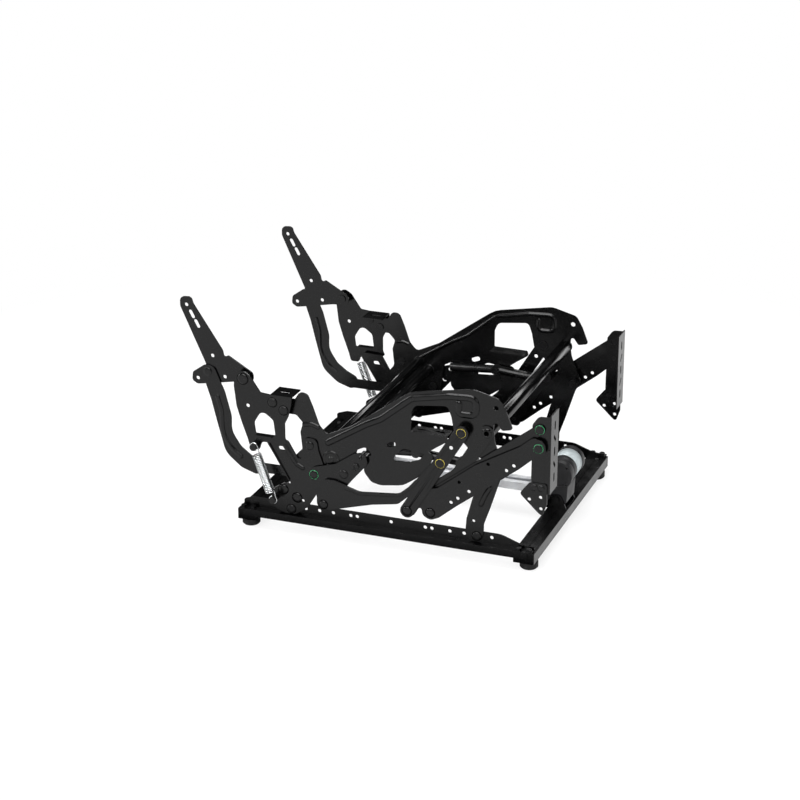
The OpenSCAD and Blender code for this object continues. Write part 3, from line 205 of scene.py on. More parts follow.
def set_inputs(node, **values):
    for label, value in values.items():
        node.inputs[label.replace("_", " ")].default_value = value
    return node


def range_node(tree, low, high, to_low=0.0, to_high=1.0):
    node = tree.nodes.new("ShaderNodeMapRange")
    return set_inputs(node, From_Min=low, From_Max=high, To_Min=to_low, To_Max=to_high)


def math_node(tree, operation, value=None):
    node = tree.nodes.new("ShaderNodeMath")
    node.operation = operation
    if value is not None:
        node.inputs[1].default_value = value
    return node


def mix_node(tree):
    node = tree.nodes.new("ShaderNodeMix")
    node.data_type = "FLOAT"
    return node


def connect(tree, links):
    """Each link: a node and its output, then a node and its input."""
    for source, give, target, take in links:
        tree.links.new(source.outputs[give], target.inputs[take])


def new_group(name, inputs, outputs, kind="ShaderNodeTree"):
    tree = bpy.data.node_groups.new(name, kind)
    for label, socket_type, value in inputs:
        socket = tree.interface.new_socket(name=label, in_out="INPUT", socket_type=socket_type)
        if value is not None:
            socket.default_value = value
    for label, socket_type in outputs:
        tree.interface.new_socket(name=label, in_out="OUTPUT", socket_type=socket_type)
    return tree, tree.nodes.new("NodeGroupInput"), tree.nodes.new("NodeGroupOutput")


def uneven_gloss_group():
    """Patches of duller and smoother finish, as on a dipped or sprayed coat."""
    name = "Uneven Gloss"
    if name in bpy.data.node_groups:
        return bpy.data.node_groups[name]
    tree, enter, leave = new_group(
        name,
        [("Vector", "NodeSocketVector", None), ("Patch Scale", FLOAT, 30.0),
         ("Smooth", FLOAT, 0.25), ("Dull", FLOAT, 0.45)],
        [("Roughness", FLOAT), ("Patches", FLOAT)])
    broad = set_inputs(tree.nodes.new("ShaderNodeTexNoise"), Detail=5.0, Roughness=0.62)
    span = range_node(tree, 0.32, 0.68)
    connect(tree, [
        (enter, "Vector", broad, "Vector"),
        (enter, "Patch Scale", broad, "Scale"),
        (broad, "Fac", span, "Value"),
        (enter, "Smooth", span, "To Min"),
        (enter, "Dull", span, "To Max"),
        (span, "Result", leave, "Roughness"),
        (broad, "Fac", leave, "Patches")])
    return tree


def fine_grain_group():
    """A fine raised texture: orange peel on a coat, or the skin of a moulding."""
    name = "Fine Grain"
    if name in bpy.data.node_groups:
        return bpy.data.node_groups[name]
    tree, enter, leave = new_group(
        name,
        [("Vector", "NodeSocketVector", None), ("Grain Scale", FLOAT, 900.0),
         ("Coarse Share", FLOAT, 0.35)],
        [("Height", FLOAT)])
    fine = set_inputs(tree.nodes.new("ShaderNodeTexNoise"), Detail=2.0)
    coarse = tree.nodes.new("ShaderNodeTexVoronoi")
    coarse.feature = "SMOOTH_F1"
    mix = mix_node(tree)
    half = math_node(tree, "MULTIPLY", 0.45)
    connect(tree, [
        (enter, "Vector", fine, "Vector"),
        (enter, "Vector", coarse, "Vector"),
        (enter, "Grain Scale", fine, "Scale"),
        (enter, "Grain Scale", half, 0),
        (half, 0, coarse, "Scale"),
        (enter, "Coarse Share", mix, "Factor"),
        (fine, "Fac", mix, "A"),
        (coarse, "Distance", mix, "B"),
        (mix, "Result", leave, "Height")])
    return tree


def drawn_lines_group():
    """Fine lines left by a die or a brush, stretched along one axis of the vector."""
    name = "Drawn Lines"
    if name in bpy.data.node_groups:
        return bpy.data.node_groups[name]
    tree, enter, leave = new_group(
        name,
        [("Vector", "NodeSocketVector", None), ("Line Scale", FLOAT, 700.0),
         ("Smooth", FLOAT, 0.2), ("Dull", FLOAT, 0.4)],
        [("Roughness", FLOAT), ("Height", FLOAT)])
    lines = set_inputs(tree.nodes.new("ShaderNodeTexNoise"), Detail=3.0)
    span = range_node(tree, 0.3, 0.7)
    connect(tree, [
        (enter, "Vector", lines, "Vector"),
        (enter, "Line Scale", lines, "Scale"),
        (lines, "Fac", span, "Value"),
        (enter, "Smooth", span, "To Min"),
        (enter, "Dull", span, "To Max"),
        (span, "Result", leave, "Roughness"),
        (lines, "Fac", leave, "Height")])
    return tree


# Materials


def start_material(name):
    material = bpy.data.materials.new(name)
    material.use_nodes = True
    nodes = material.node_tree.nodes
    shader = nodes["Principled BSDF"]
    place = nodes.new("ShaderNodeTexCoord")
    return material, material.node_tree, shader, place


def add_group(tree, group, vector, **values):
    node = tree.nodes.new("ShaderNodeGroup")
    node.node_tree = group
    tree.links.new(vector, node.inputs["Vector"])
    return set_inputs(node, **values)


def add_tint(tree, shader, mask, dark, light, low=0.35, high=0.65):
    """Base colour between two tones by a mask."""
    ramp = tree.nodes.new("ShaderNodeValToRGB")
    ramp.color_ramp.elements[0].position = low
    ramp.color_ramp.elements[1].position = high
    ramp.color_ramp.elements[0].color = (*dark, 1)
    ramp.color_ramp.elements[1].color = (*light, 1)
    tree.links.new(mask, ramp.inputs["Fac"])
    tree.links.new(ramp.outputs["Color"], shader.inputs["Base Color"])


def add_bump(tree, shader, height, strength, distance):
    bump = set_inputs(tree.nodes.new("ShaderNodeBump"), Strength=strength, Distance=distance)
    tree.links.new(height, bump.inputs["Height"])
    tree.links.new(bump.outputs["Normal"], shader.inputs["Normal"])


def shade(colour, factor):
    return tuple(min(1.0, c * factor) for c in colour)


def skinned(name, colour, tones, smooth, dull, patch, grain, coarse, bump, specular):
    """Nearly even colour, patchy gloss and a fine raised skin."""
    material, tree, shader, place = start_material(name)
    where = place.outputs["Object"]
    gloss = add_group(tree, uneven_gloss_group(), where, Patch_Scale=patch, Smooth=smooth, Dull=dull)
    skin = add_group(tree, fine_grain_group(), where, Grain_Scale=grain, Coarse_Share=coarse)
    add_tint(tree, shader, gloss.outputs["Patches"], *(shade(colour, tone) for tone in tones))
    tree.links.new(gloss.outputs["Roughness"], shader.inputs["Roughness"])
    add_bump(tree, shader, skin.outputs["Height"], bump, 0.0002)
    set_inputs(shader, Specular_IOR_Level=specular)
    return material


def coated_steel(name, colour, smooth, dull, grain=1100.0, bump=0.10):
    """Black coat on steel, with faint orange peel."""
    return skinned(name, colour, (0.8, 1.35), smooth, dull, 26.0, grain, 0.4, bump, 0.38)


def moulding(name, colour, smooth, dull, grain=1500.0, bump=0.25, specular=0.4):
    """Moulded plastic or rubber."""
    return skinned(name, colour, (0.85, 1.2), smooth, dull, 45.0, grain, 0.6, bump, specular)


def bare_metal(name, colour, smooth, dull, stretch, bump=0.08, metal=1.0):
    """Plated or extruded metal with lines along one direction."""
    material, tree, shader, place = start_material(name)
    mapping = set_inputs(tree.nodes.new("ShaderNodeMapping"), Scale=stretch)
    where = place.outputs["Object"]
    tree.links.new(where, mapping.inputs["Vector"])
    lines = add_group(
        tree, drawn_lines_group(), mapping.outputs["Vector"], Line_Scale=600.0, Smooth=smooth, Dull=dull)
    patches = add_group(tree, uneven_gloss_group(), where, Patch_Scale=40.0)
    add_tint(tree, shader, patches.outputs["Patches"], shade(colour, 0.88), shade(colour, 1.06))
    tree.links.new(lines.outputs["Roughness"], shader.inputs["Roughness"])
    add_bump(tree, shader, lines.outputs["Height"], bump, 0.0001)
    set_inputs(shader, Metallic=metal)
    return material


MATERIALS = {}


def material(name):
    return MATERIALS[name]


# Mesh helpers


def finish_piece(obj, body):
    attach(obj, body)


def mesh_object(name, verts, edges=(), faces=()):
    mesh = bpy.data.meshes.new(name)
    mesh.from_pydata([tuple(v) for v in verts], list(edges), list(faces))
    obj = bpy.data.objects.new(name, mesh)
    bpy.context.scene.collection.objects.link(obj)
    return obj


def bake_tree(obj, tree, values):
    """Runs a geometry tree on the object and keeps the result as its plain mesh."""
    modifier = obj.modifiers.new(tree.name, "NODES")
    modifier.node_group = tree
    for item in tree.interface.items_tree:
        if item.item_type == "SOCKET" and item.in_out == "INPUT" and item.name in values:
            modifier[item.identifier] = values[item.name]
    graph = bpy.context.evaluated_depsgraph_get()
    mesh = bpy.data.meshes.new_from_object(obj.evaluated_get(graph), depsgraph=graph)
    obj.modifiers.remove(modifier)
    old = obj.data
    obj.data = mesh
    mesh.name = obj.name
    bpy.data.meshes.remove(old)


def start_tree(name, inputs):
    shape = ("Geometry", "NodeSocketGeometry")
    return new_group(name, [(*shape, None), *inputs], [shape], "GeometryNodeTree")


def end_tree(tree, enter, leave, geometry, smooth=True):
    """Realize, smooth, set the material and leave."""
    real = tree.nodes.new("GeometryNodeRealizeInstances")
    soft = set_inputs(tree.nodes.new("GeometryNodeSetShadeSmooth"), Shade_Smooth=smooth)
    paint = tree.nodes.new("GeometryNodeSetMaterial")
    tree.links.new(geometry, real.inputs["Geometry"])
    connect(tree, [
        (real, "Geometry", soft, "Geometry"),
        (soft, "Geometry", paint, "Geometry"),
        (enter, "Material", paint, "Material"),
        (paint, "Geometry", leave, "Geometry")])
    return tree


def wire_tree():
    """A round wire along the path of edges it is given, or a bead where it is pressed towards a plane."""
    tree, enter, leave = start_tree("Wound Wire", [
        ("Wire Radius", FLOAT, 0.0014), ("Sides", "NodeSocketInt", 12),
        ("Plane", FLOAT, 0.0), ("Flatten", FLOAT, 1.0),
        ("Material", "NodeSocketMaterial", None)])
    path = tree.nodes.new("GeometryNodeMeshToCurve")
    section = tree.nodes.new("GeometryNodeCurvePrimitiveCircle")
    sweep = set_inputs(tree.nodes.new("GeometryNodeCurveToMesh"), Fill_Caps=True)
    connect(tree, [
        (enter, "Geometry", path, "Mesh"),
        (enter, "Sides", section, "Resolution"),
        (enter, "Wire Radius", section, "Radius"),
        (path, "Curve", sweep, "Curve"),
        (section, "Curve", sweep, "Profile Curve")])
    place = tree.nodes.new("GeometryNodeInputPosition")
    axes = tree.nodes.new("ShaderNodeSeparateXYZ")
    height = math_node(tree, "SUBTRACT")
    pressed = math_node(tree, "MULTIPLY_ADD")
    spot = tree.nodes.new("ShaderNodeCombineXYZ")
    press = tree.nodes.new("GeometryNodeSetPosition")
    connect(tree, [
        (place, "Position", axes, "Vector"),
        (axes, "Y", height, 0),
        (enter, "Plane", height, 1),
        (height, 0, pressed, 0),
        (enter, "Flatten", pressed, 1),
        (enter, "Plane", pressed, 2),
        (axes, "X", spot, "X"),
        (pressed, 0, spot, "Y"),
        (axes, "Z", spot, "Z"),
        (sweep, "Mesh", press, "Geometry"),
        (spot, "Vector", press, "Position")])
    return end_tree(tree, enter, leave, press.outputs["Geometry"])


def ring_tree():
    """A flat ring about the Y direction on each point, for washers."""
    tree, enter, leave = start_tree("Flat Rings", [
        ("Inner Radius", FLOAT, 0.0075), ("Outer Radius", FLOAT, 0.0165),
        ("Thickness", FLOAT, 0.0006), ("Material", "NodeSocketMaterial", None)])
    total = math_node(tree, "ADD")
    mean = math_node(tree, "MULTIPLY", 0.5)
    width = math_node(tree, "SUBTRACT")
    loop = set_inputs(tree.nodes.new("GeometryNodeCurvePrimitiveCircle"), Resolution=48)
    section = tree.nodes.new("GeometryNodeCurvePrimitiveQuadrilateral")
    sweep = tree.nodes.new("GeometryNodeCurveToMesh")
    points = tree.nodes.new("GeometryNodeMeshToPoints")
    spread = set_inputs(tree.nodes.new("GeometryNodeInstanceOnPoints"), Rotation=(math.pi / 2, 0, 0))
    connect(tree, [
        (enter, "Inner Radius", total, 0),
        (enter, "Outer Radius", total, 1),
        (total, 0, mean, 0),
        (mean, 0, loop, "Radius"),
        (enter, "Outer Radius", width, 0),
        (enter, "Inner Radius", width, 1),
        (width, 0, section, "Width"),
        (enter, "Thickness", section, "Height"),
        (loop, "Curve", sweep, "Curve"),
        (section, "Curve", sweep, "Profile Curve"),
        (enter, "Geometry", points, "Mesh"),
        (points, "Points", spread, "Points"),
        (sweep, "Mesh", spread, "Instance")])
    return end_tree(tree, enter, leave, spread.outputs["Instances"], smooth=False)


def weld_tree():
    """A rippled weld bead about the Y direction on each point."""
    tree, enter, leave = start_tree("Weld Beads", [
        ("Tube Radius", FLOAT, 0.010), ("Bead Radius", FLOAT, 0.0019),
        ("Ripple", FLOAT, 0.0004), ("Material", "NodeSocketMaterial", None)])
    loop = set_inputs(tree.nodes.new("GeometryNodeCurvePrimitiveCircle"), Resolution=72)
    section = set_inputs(tree.nodes.new("GeometryNodeCurvePrimitiveCircle"), Resolution=8)
    sweep = tree.nodes.new("GeometryNodeCurveToMesh")
    noise = set_inputs(tree.nodes.new("ShaderNodeTexNoise"), Scale=420.0)
    centre = math_node(tree, "SUBTRACT", 0.5)
    amount = math_node(tree, "MULTIPLY")
    normal = tree.nodes.new("GeometryNodeInputNormal")
    offset = tree.nodes.new("ShaderNodeVectorMath")
    offset.operation = "SCALE"
    move = tree.nodes.new("GeometryNodeSetPosition")
    points = tree.nodes.new("GeometryNodeMeshToPoints")
    spread = set_inputs(tree.nodes.new("GeometryNodeInstanceOnPoints"), Rotation=(math.pi / 2, 0, 0))
    connect(tree, [
        (enter, "Tube Radius", loop, "Radius"),
        (enter, "Bead Radius", section, "Radius"),
        (loop, "Curve", sweep, "Curve"),
        (section, "Curve", sweep, "Profile Curve"),
        (noise, "Fac", centre, 0),
        (centre, 0, amount, 0),
        (enter, "Ripple", amount, 1),
        (normal, "Normal", offset, 0),
        (amount, 0, offset, "Scale"),
        (sweep, "Mesh", move, "Geometry"),
        (offset, "Vector", move, "Offset"),
        (enter, "Geometry", points, "Mesh"),
        (points, "Points", spread, "Points"),
        (move, "Geometry", spread, "Instance")])
    return end_tree(tree, enter, leave, spread.outputs["Instances"])


def button_tree():
    """A low round button on each point, its crown along Y: screw heads and the ends of ribs."""
    tree, enter, leave = start_tree("Round Buttons", [
        ("Radius", FLOAT, 0.004), ("Crown", FLOAT, 0.0012),
        ("Material", "NodeSocketMaterial", None)])
    ball = set_inputs(tree.nodes.new("GeometryNodeMeshUVSphere"), Segments=20, Rings=10, Radius=1.0)
    size = tree.nodes.new("ShaderNodeCombineXYZ")
    flat = tree.nodes.new("GeometryNodeTransform")
    points = tree.nodes.new("GeometryNodeMeshToPoints")
    spread = tree.nodes.new("GeometryNodeInstanceOnPoints")
    connect(tree, [
        (enter, "Radius", size, "X"),
        (enter, "Crown", size, "Y"),
        (enter, "Radius", size, "Z"),
        (ball, "Mesh", flat, "Geometry"),
        (size, "Vector", flat, "Scale"),
        (enter, "Geometry", points, "Mesh"),
        (points, "Points", spread, "Points"),
        (flat, "Geometry", spread, "Instance")])
    return end_tree(tree, enter, leave, spread.outputs["Instances"])


def rounded_route(points, steps=8):
    """A route with each corner rounded by the radius that its point carries."""
    route = [points[0][:2]]
    for k in range(1, len(points) - 1):
        a, b, c = (Vector(points[k + d][:2]) for d in (-1, 0, 1))
        before, after = (a - b), (c - b)
        half = before.angle(after) / 2
        reach = min(points[k][2] / math.tan(half), 0.49 * before.length, 0.49 * after.length)
        start, end = b + before.normalized() * reach, b + after.normalized() * reach
        for i in range(steps + 1):
            t = i / steps
            route.append(tuple(start * (1 - t) ** 2 + b * 2 * t * (1 - t) + end * t**2))
    return route + [points[-1][:2]]


def repeat_on(name, points, tree, values, body):
    """A piece that a geometry tree puts on each point."""
    obj = mesh_object(name, points)
    bake_tree(obj, tree, values)
    finish_piece(obj, body)


# Operators


class RECLINER_OT_finishes(bpy.types.Operator):
    """Paint, plate and round the edges of every solid of the frame"""

    bl_idname = "recliner.finishes"
    bl_label = "Finishes"

    def execute(self, context):
        finish = context.scene.recliner_finish
        trim = context.scene.recliner_trim
        coat, low, high = tuple(finish.coat_colour), finish.coat_low, finish.coat_high
        zinc, track = tuple(finish.zinc_colour), tuple(finish.track_colour)
        MATERIALS.update({
            "black_steel": coated_steel("black_coated_sheet", coat, low, high),
            "black_tube": coated_steel("black_coated_tube", coat, low - 0.03, high - 0.08, 1100.0, 0.02),
            "black_rivet": coated_steel("black_coated_rivet", shade(coat, 1.5), 0.2, 0.36, 1500.0, 0.06),
            "spring_wire": bare_metal("bright_zinc_wire", zinc, 0.16, 0.24, (1, 1, 1), 0.02),
            # Painted shade: a dark, dull material for the inner side of the spring winding, standing in for the
            # shade inside the coil
            "spring_painted_shade": moulding("dull_zinc", (0.02, 0.021, 0.022), 0.6, 0.8, 1200.0, 0.1, 0.1),
            "track_metal": bare_metal("extruded_track", track, 0.34, 0.42, (0.02, 1, 1), 0.02, 0.4),
            "screw_steel": bare_metal("turned_screw", (0.55, 0.55, 0.57), 0.2, 0.36, (1, 0.05, 0.05)),
            "motor_can": bare_metal("plated_motor_can", (0.46, 0.47, 0.48), 0.26, 0.44, (1, 0.04, 1)),
            "black_plastic": moulding("black_moulding", (0.014, 0.014, 0.015), 0.36, 0.5),
            "foot_rubber": moulding("black_rubber", (0.012, 0.012, 0.012), 0.5, 0.66, 900.0, 0.3, 0.3),
            "green_nylon": moulding("green_nylon", tuple(trim.washer_green), 0.35, 0.5, 1200.0, 0.1),
            # Painted shade: near-black, glossless material for the rings round the heads, standing in for contact
            # shade
            "black_nylon": moulding("black_nylon", (0.0008, 0.0008, 0.0008), 0.7, 0.8, 1200.0, 0.1, 0.03),
            "yellow_nylon": moulding("yellow_nylon", tuple(trim.washer_yellow), 0.35, 0.5, 1200.0, 0.1),
            "sleeve": moulding("motor_sleeve", (0.36, 0.40, 0.41), 0.32, 0.42, 700.0, 0.05),
        })
        for name, node in NODES.items():
            node.data.materials.clear()
            node.data.materials.append(MATERIALS[SLOT_OF[name]])
            if "spring" in name:
                continue
            weld = node.modifiers.new("join", "WELD")
            weld.merge_threshold = 0.00001
            edge = node.modifiers.new("edge", "BEVEL")
            edge.width = finish.edge_round
            edge.segments = 2
            edge.limit_method = "ANGLE"
            edge.angle_limit = math.radians(38)
            edge.harden_normals = False
        return {"FINISHED"}


class RECLINER_OT_springs(bpy.types.Operator):
    """Wind the two return springs, with an eye on each stud"""

    bl_idname = "recliner.springs"
    bl_label = "Return springs"

    def execute(self, context):
        spring = context.scene.recliner_spring
        tree = wire_tree()
        low_x, low_z = stepped(pivot("rear_swing"), SPRING_LOW)
        high_x, high_z = stepped(pivot("back_recline"), SPRING_HIGH)
        low, high = Vector((low_x, 0, low_z)), Vector((high_x, 0, high_z))
        along = (high - low).normalized()
        across = Vector((along.z, 0, -along.x))
        span = (high - low).length
        coil_r = (spring.outside - spring.wire) / 2
        length = spring.curls * spring.pitch
        start = (span - length) / 2
        play = 0.0007
        eye_r = spring.stud + spring.wire / 2 + play
        turn = eye_steps = 24
        bend_steps = 6
        lead = []
        for i in range(eye_steps + 1):
            a = math.radians(-105 + 255 * i / eye_steps)
            lead.append((-eye_r * math.cos(a), 0.0, -eye_r * math.sin(a)))
        knee = [(eye_r * 0.95, 0.0, eye_r * 0.6), (coil_r * 0.9, -coil_r * 0.25, start - spring.pitch * 0.55)]
        first = (coil_r, 0.0, start)
        second = (coil_r * 0.97, coil_r * 0.26, start + spring.pitch / turn)
        bend = []
        route = [lead[-1]] + knee + [first]
        for k in range(3):
            p, q = Vector(route[k]), Vector(route[k + 1])
            before = Vector(route[k - 1] if k else lead[-2])
            after = Vector(route[k + 2] if k < 2 else second)
            m0, m1 = (q - before) * 0.5, (after - p) * 0.5
            for i in range(1, bend_steps + 1):
                t = i / bend_steps
                h = (2 * t**3 - 3 * t**2 + 1, t**3 - 2 * t**2 + t, -2 * t**3 + 3 * t**2, t**3 - t**2)
                bend.append(tuple(p * h[0] + m0 * h[1] + q * h[2] + m1 * h[3]))
        coil = []
        for i in range(1, turn * spring.curls):
            a = math.tau * i / turn
            coil.append((coil_r * math.cos(a), coil_r * math.sin(a), start + spring.pitch * i / turn))
        head = lead + bend
        tail = [(x, -y, span - z) for x, y, z in reversed(head)]
        local = head + coil + tail
        for side, sign in SIDES:
            verts = []
            for x, y, z in local:
                p = low + along * z + across * x
                verts.append((p.x, sign * (spring.axis_y + y), p.z))
            name = f"wound_spring_{side}"
            obj = mesh_object(name, verts, [(i, i + 1) for i in range(len(verts) - 1)])
            y = sign * spring.axis_y
            bake_tree(obj, tree, {
                "Wire Radius": spring.wire / 2, "Sides": 12, "Material": material("spring_wire")})
            # Painted shade on the inner side of the coil
            self.paint_shade_inside(obj, low, along, y, coil_r - 0.15 * spring.wire, start, span - start)
            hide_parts(f"return_spring_{side}")
            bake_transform(obj)
        return {"FINISHED"}

    def paint_shade_inside(self, obj, low, along, y, radius, first, last):
        """Painted shade: the inner side of the winding gets a dark, dull material, standing in for the shade
        inside the coil.
        """
        obj.data.materials.append(material("spring_painted_shade"))
        foot = Vector((low.x, y, low.z))
        for polygon in obj.data.polygons:
            reach = polygon.center - foot
            z = reach.dot(along)
            if first < z < last and (reach - along * z).length < radius:
                polygon.material_index = 1


class RECLINER_OT_washers(bpy.types.Operator):
    """Nylon washers under the heads of the pivots, some of them coloured, and near-black rings that paint the
    contact shade round the other heads
    """

    bl_idname = "recliner.washers"
    bl_label = "Nylon washers"

    def execute(self, context):
        trim = context.scene.recliner_trim
        tree = ring_tree()
        link = pivot("rear_link_right")
        bush = stepped(link, (BUSH_REACH * math.cos(BUSH_TURN), BUSH_REACH * math.sin(BUSH_TURN)))
        toe = stepped(pivot("outer_arm_right"), TOE_LOW)
        both = [
            ("yellow", "rear_pivot", "seat", link, 4, True),
            ("green", "crank_boss", "crank", stepped(pivot("crank_turn"), CRANK_BOSS), 2, False),
        ]
        for colour, name, body, (x, z), layer, loose in both:
            y = LAYER[layer] + SHEET
            points = [(x, sign * y, z) for _, sign in SIDES]
            self.rings(f"washer_{name}", points, tree, colour, trim.washer_r, loose, body)
        single = [
            ("yellow", "drive_bush", "footrest_rear", bush, 4, False),
            ("green", "toe_low", "footrest", toe, 3, True),
            ("green", "toe_high", "footrest", stepped(toe, TOE_STEP), 2, True),
        ]
        for side, sign in SIDES:
            for colour, name, body, (x, z), layer, loose in single:
                points = [(x, sign * (LAYER[layer] + SHEET), z)]
                rider = f"{body}_{side}"
                self.rings(f"washer_{name}_{side}", points, tree, colour, trim.washer_r, loose, rider)
        self.plain(trim, tree)
        return {"FINISHED"}

    def plain(self, trim, tree):
        """Painted shade: near-black rings without gloss round the other pivots and heads, standing in for the
        contact shade round each head.
        """
        base, front, seat = pivot("rear_swing"), pivot("front_swing_right"), pivot("back_recline")
        arm, hinge, link = pivot("outer_arm_right"), pivot("footrest_open"), pivot("rear_link_right")
        low = (link[0] + arm[0] - hinge[0], link[1] + arm[1] - hinge[1])
        wide = trim.shade_ring_r
        for name, body, (x, z), layer, loose, outer in (
                ("rear_base", "base", base, 1, True, wide),
                ("front_base", "base", front, -1, True, wide),
                ("front_low", "footrest_front", arm, 3, True, wide),
                ("crank_low", "crank", pivot("drive_link_right"), 3, True, wide),
                ("rear_low_right", "footrest_rear_right", low, 4, False, wide),
                ("rear_low_left", "footrest_rear_left", low, 4, False, wide),
                ("swing_stud", "rear_swing", stepped(base, SWING_STUD), 1, False, wide + 0.001),
                ("swing_tube", "rear_swing", stepped(base, SWING_TUBE), 1, False, wide + 0.001),
                ("back_pivot", "seat", seat, 3, False, wide + 0.002),
                ("spacer_high", "seat", stepped(seat, SPACER_HIGH), 3, False, wide),
                ("spacer_low", "seat", stepped(seat, SPACER_LOW), 3, False, wide)):
            y = LAYER[layer] + SHEET
            one_side = name.endswith(("_right", "_left"))
            points = [(x, sign * y, z) for side, sign in SIDES if not one_side or name.endswith(side)]
            self.rings(f"washer_{name}", points, tree, "black", outer, loose, body)

    def rings(self, name, points, tree, colour, outer, loose, body):
        """A loose ring lies under its rivet head, the others round the foot of a fixed head; the coloured rings
        are washers, the near-black ones painted shade.
        """
        thick, lift, inner = (0.00028, 0.000175, 0.0058) if loose else (0.0005, 0.0, outer - 0.0021)
        points = [(x, y + math.copysign(lift, y), z) for x, y, z in points]
        repeat_on(name, points, tree, {
            "Inner Radius": inner, "Outer Radius": outer, "Thickness": thick,
            "Material": material(f"{colour}_nylon")}, body)


class RECLINER_OT_pressed_beads(bpy.types.Operator):
    """Rounded skin of the pressed ribs, and their inner side, which stands proud of the plate"""

    bl_idname = "recliner.pressed_beads"
    bl_label = "Pressed beads"

    def execute(self, context):
        trim = context.scene.recliner_trim
        wire, button = bpy.data.node_groups["Wound Wire"], button_tree()
        top, rest, back = pivot("seat_level"), pivot("rear_link_right"), pivot("back_recline")
        crank, lever, base = pivot("crank_turn"), pivot("back_lever_right"), pivot("front_swing_right")
        link_top, link_low = stepped(back, BACK_LINK), stepped(lever, BACK_LINK)

        def at(origin, *steps):
            return [(origin[0] + dx / 1000, origin[1] + dz / 1000, r / 1000) for dx, dz, r in steps]

        spine = at(top, (39, 11, 0), (119, 61, 60), (151, 77, 50)) + at(
            rest, (-109, 52, 30), (-33, 67, 30), (24, 70, 16), (25, 33, 15), (-12, 33, 15), (-11, 54, 0))
        brow = at(top, (-12, 43, 0), (4, 46, 20), (17, 41, 0))
        horn = at(top, (-55, -6, 0), (-29, -44, 8), (-16, -51, 0))
        curve = at(link_top, (20, -52, 0), (28, -80, 60)) + at(
            link_low, (-78, 65, 60), (-58, 34, 60), (-38, 20, 0))
        swing = at(base, (8, 70, 0), (17, 92, 60), (26, 108, 0))
        edge = at(crank, (6, -27, 0), (36, -34, 30), (120, -25, 30), (142, -6, 30), (157, 12, 0))
        # Body, plate layer, route, half width and height of the skin in mm, whether the inner side shows
        for name, body, layer, path, half, high, inner in (
                ("spine", "seat", 0, spine, 7.0, 3.65, True),
                ("brow", "seat", 0, brow, 5.0, 2.65, True),
                ("horn", "rear_swing", 1, horn, 5.0, 2.65, True),
                ("back_link", "back_link", 0, curve, 5.0, 2.65, True),
                ("front_swing", "front_swing", -1, swing, 5.0, 2.65, False),
                ("drive_link", "drive_link", 3, edge, 3.4, 0.7, False)):
            route = rounded_route(path)
            edges = [(k, k + 1) for k in range(len(route) - 1)]
            for side, sign in SIDES:
                rider = body if body in ("seat", "rear_swing") else f"{body}_{side}"
                face = sign * (LAYER[layer] + SHEET)
                skin = mesh_object(f"bead_{name}_{side}", [(x, face, z) for x, z in route], edges)
                bake_tree(skin, wire, {
                    "Wire Radius": half / 1000, "Sides": 28, "Plane": face, "Flatten": high / half,
                    "Material": material("black_steel")})
                finish_piece(skin, rider)
                ends = [(x, face, z) for x, z in (route[0], route[-1])]
                repeat_on(f"bead_ends_{name}_{side}", ends, button, {
                    "Radius": half / 1000, "Crown": high / 1000, "Material": material("black_steel")},
                    rider)
                if inner:
                    middle = sign * (LAYER[layer] + SHEET / 2)
                    back_side = mesh_object(
                        f"bead_inner_{name}_{side}", [(x, middle, z) for x, z in route], edges)
                    bake_tree(back_side, wire, {
                        "Wire Radius": trim.bead_r, "Sides": 16, "Plane": middle, "Flatten": 1.0,
                        "Material": material("black_steel")})
                    finish_piece(back_side, rider)
        return {"FINISHED"}


class RECLINER_OT_welds(bpy.types.Operator):
    """Weld beads where the cross tubes meet their plates"""

    bl_idname = "recliner.welds"
    bl_label = "Tube welds"

    def execute(self, context):
        trim = context.scene.recliner_trim
        tree = weld_tree()
        for tube, layer in (
                ("rear_tube_upper", 0), ("rear_tube_lower", 0), ("rear_swing_tube", 1), ("drive_tube", 2)):
            low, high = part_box(tube)
            middle = (low + high) / 2
            sunk, clear = 0.0006, 0.0004
            y = LAYER[layer] - sunk
            repeat_on(f"weld_{tube}", [(middle.x, -y, middle.z), (middle.x, y, middle.z)], tree, {
                "Tube Radius": (high.x - low.x) / 2 + clear, "Bead Radius": trim.weld_r, "Ripple": 0.0012,
                "Material": material("black_tube")}, BODY_OF[tube])
        return {"FINISHED"}


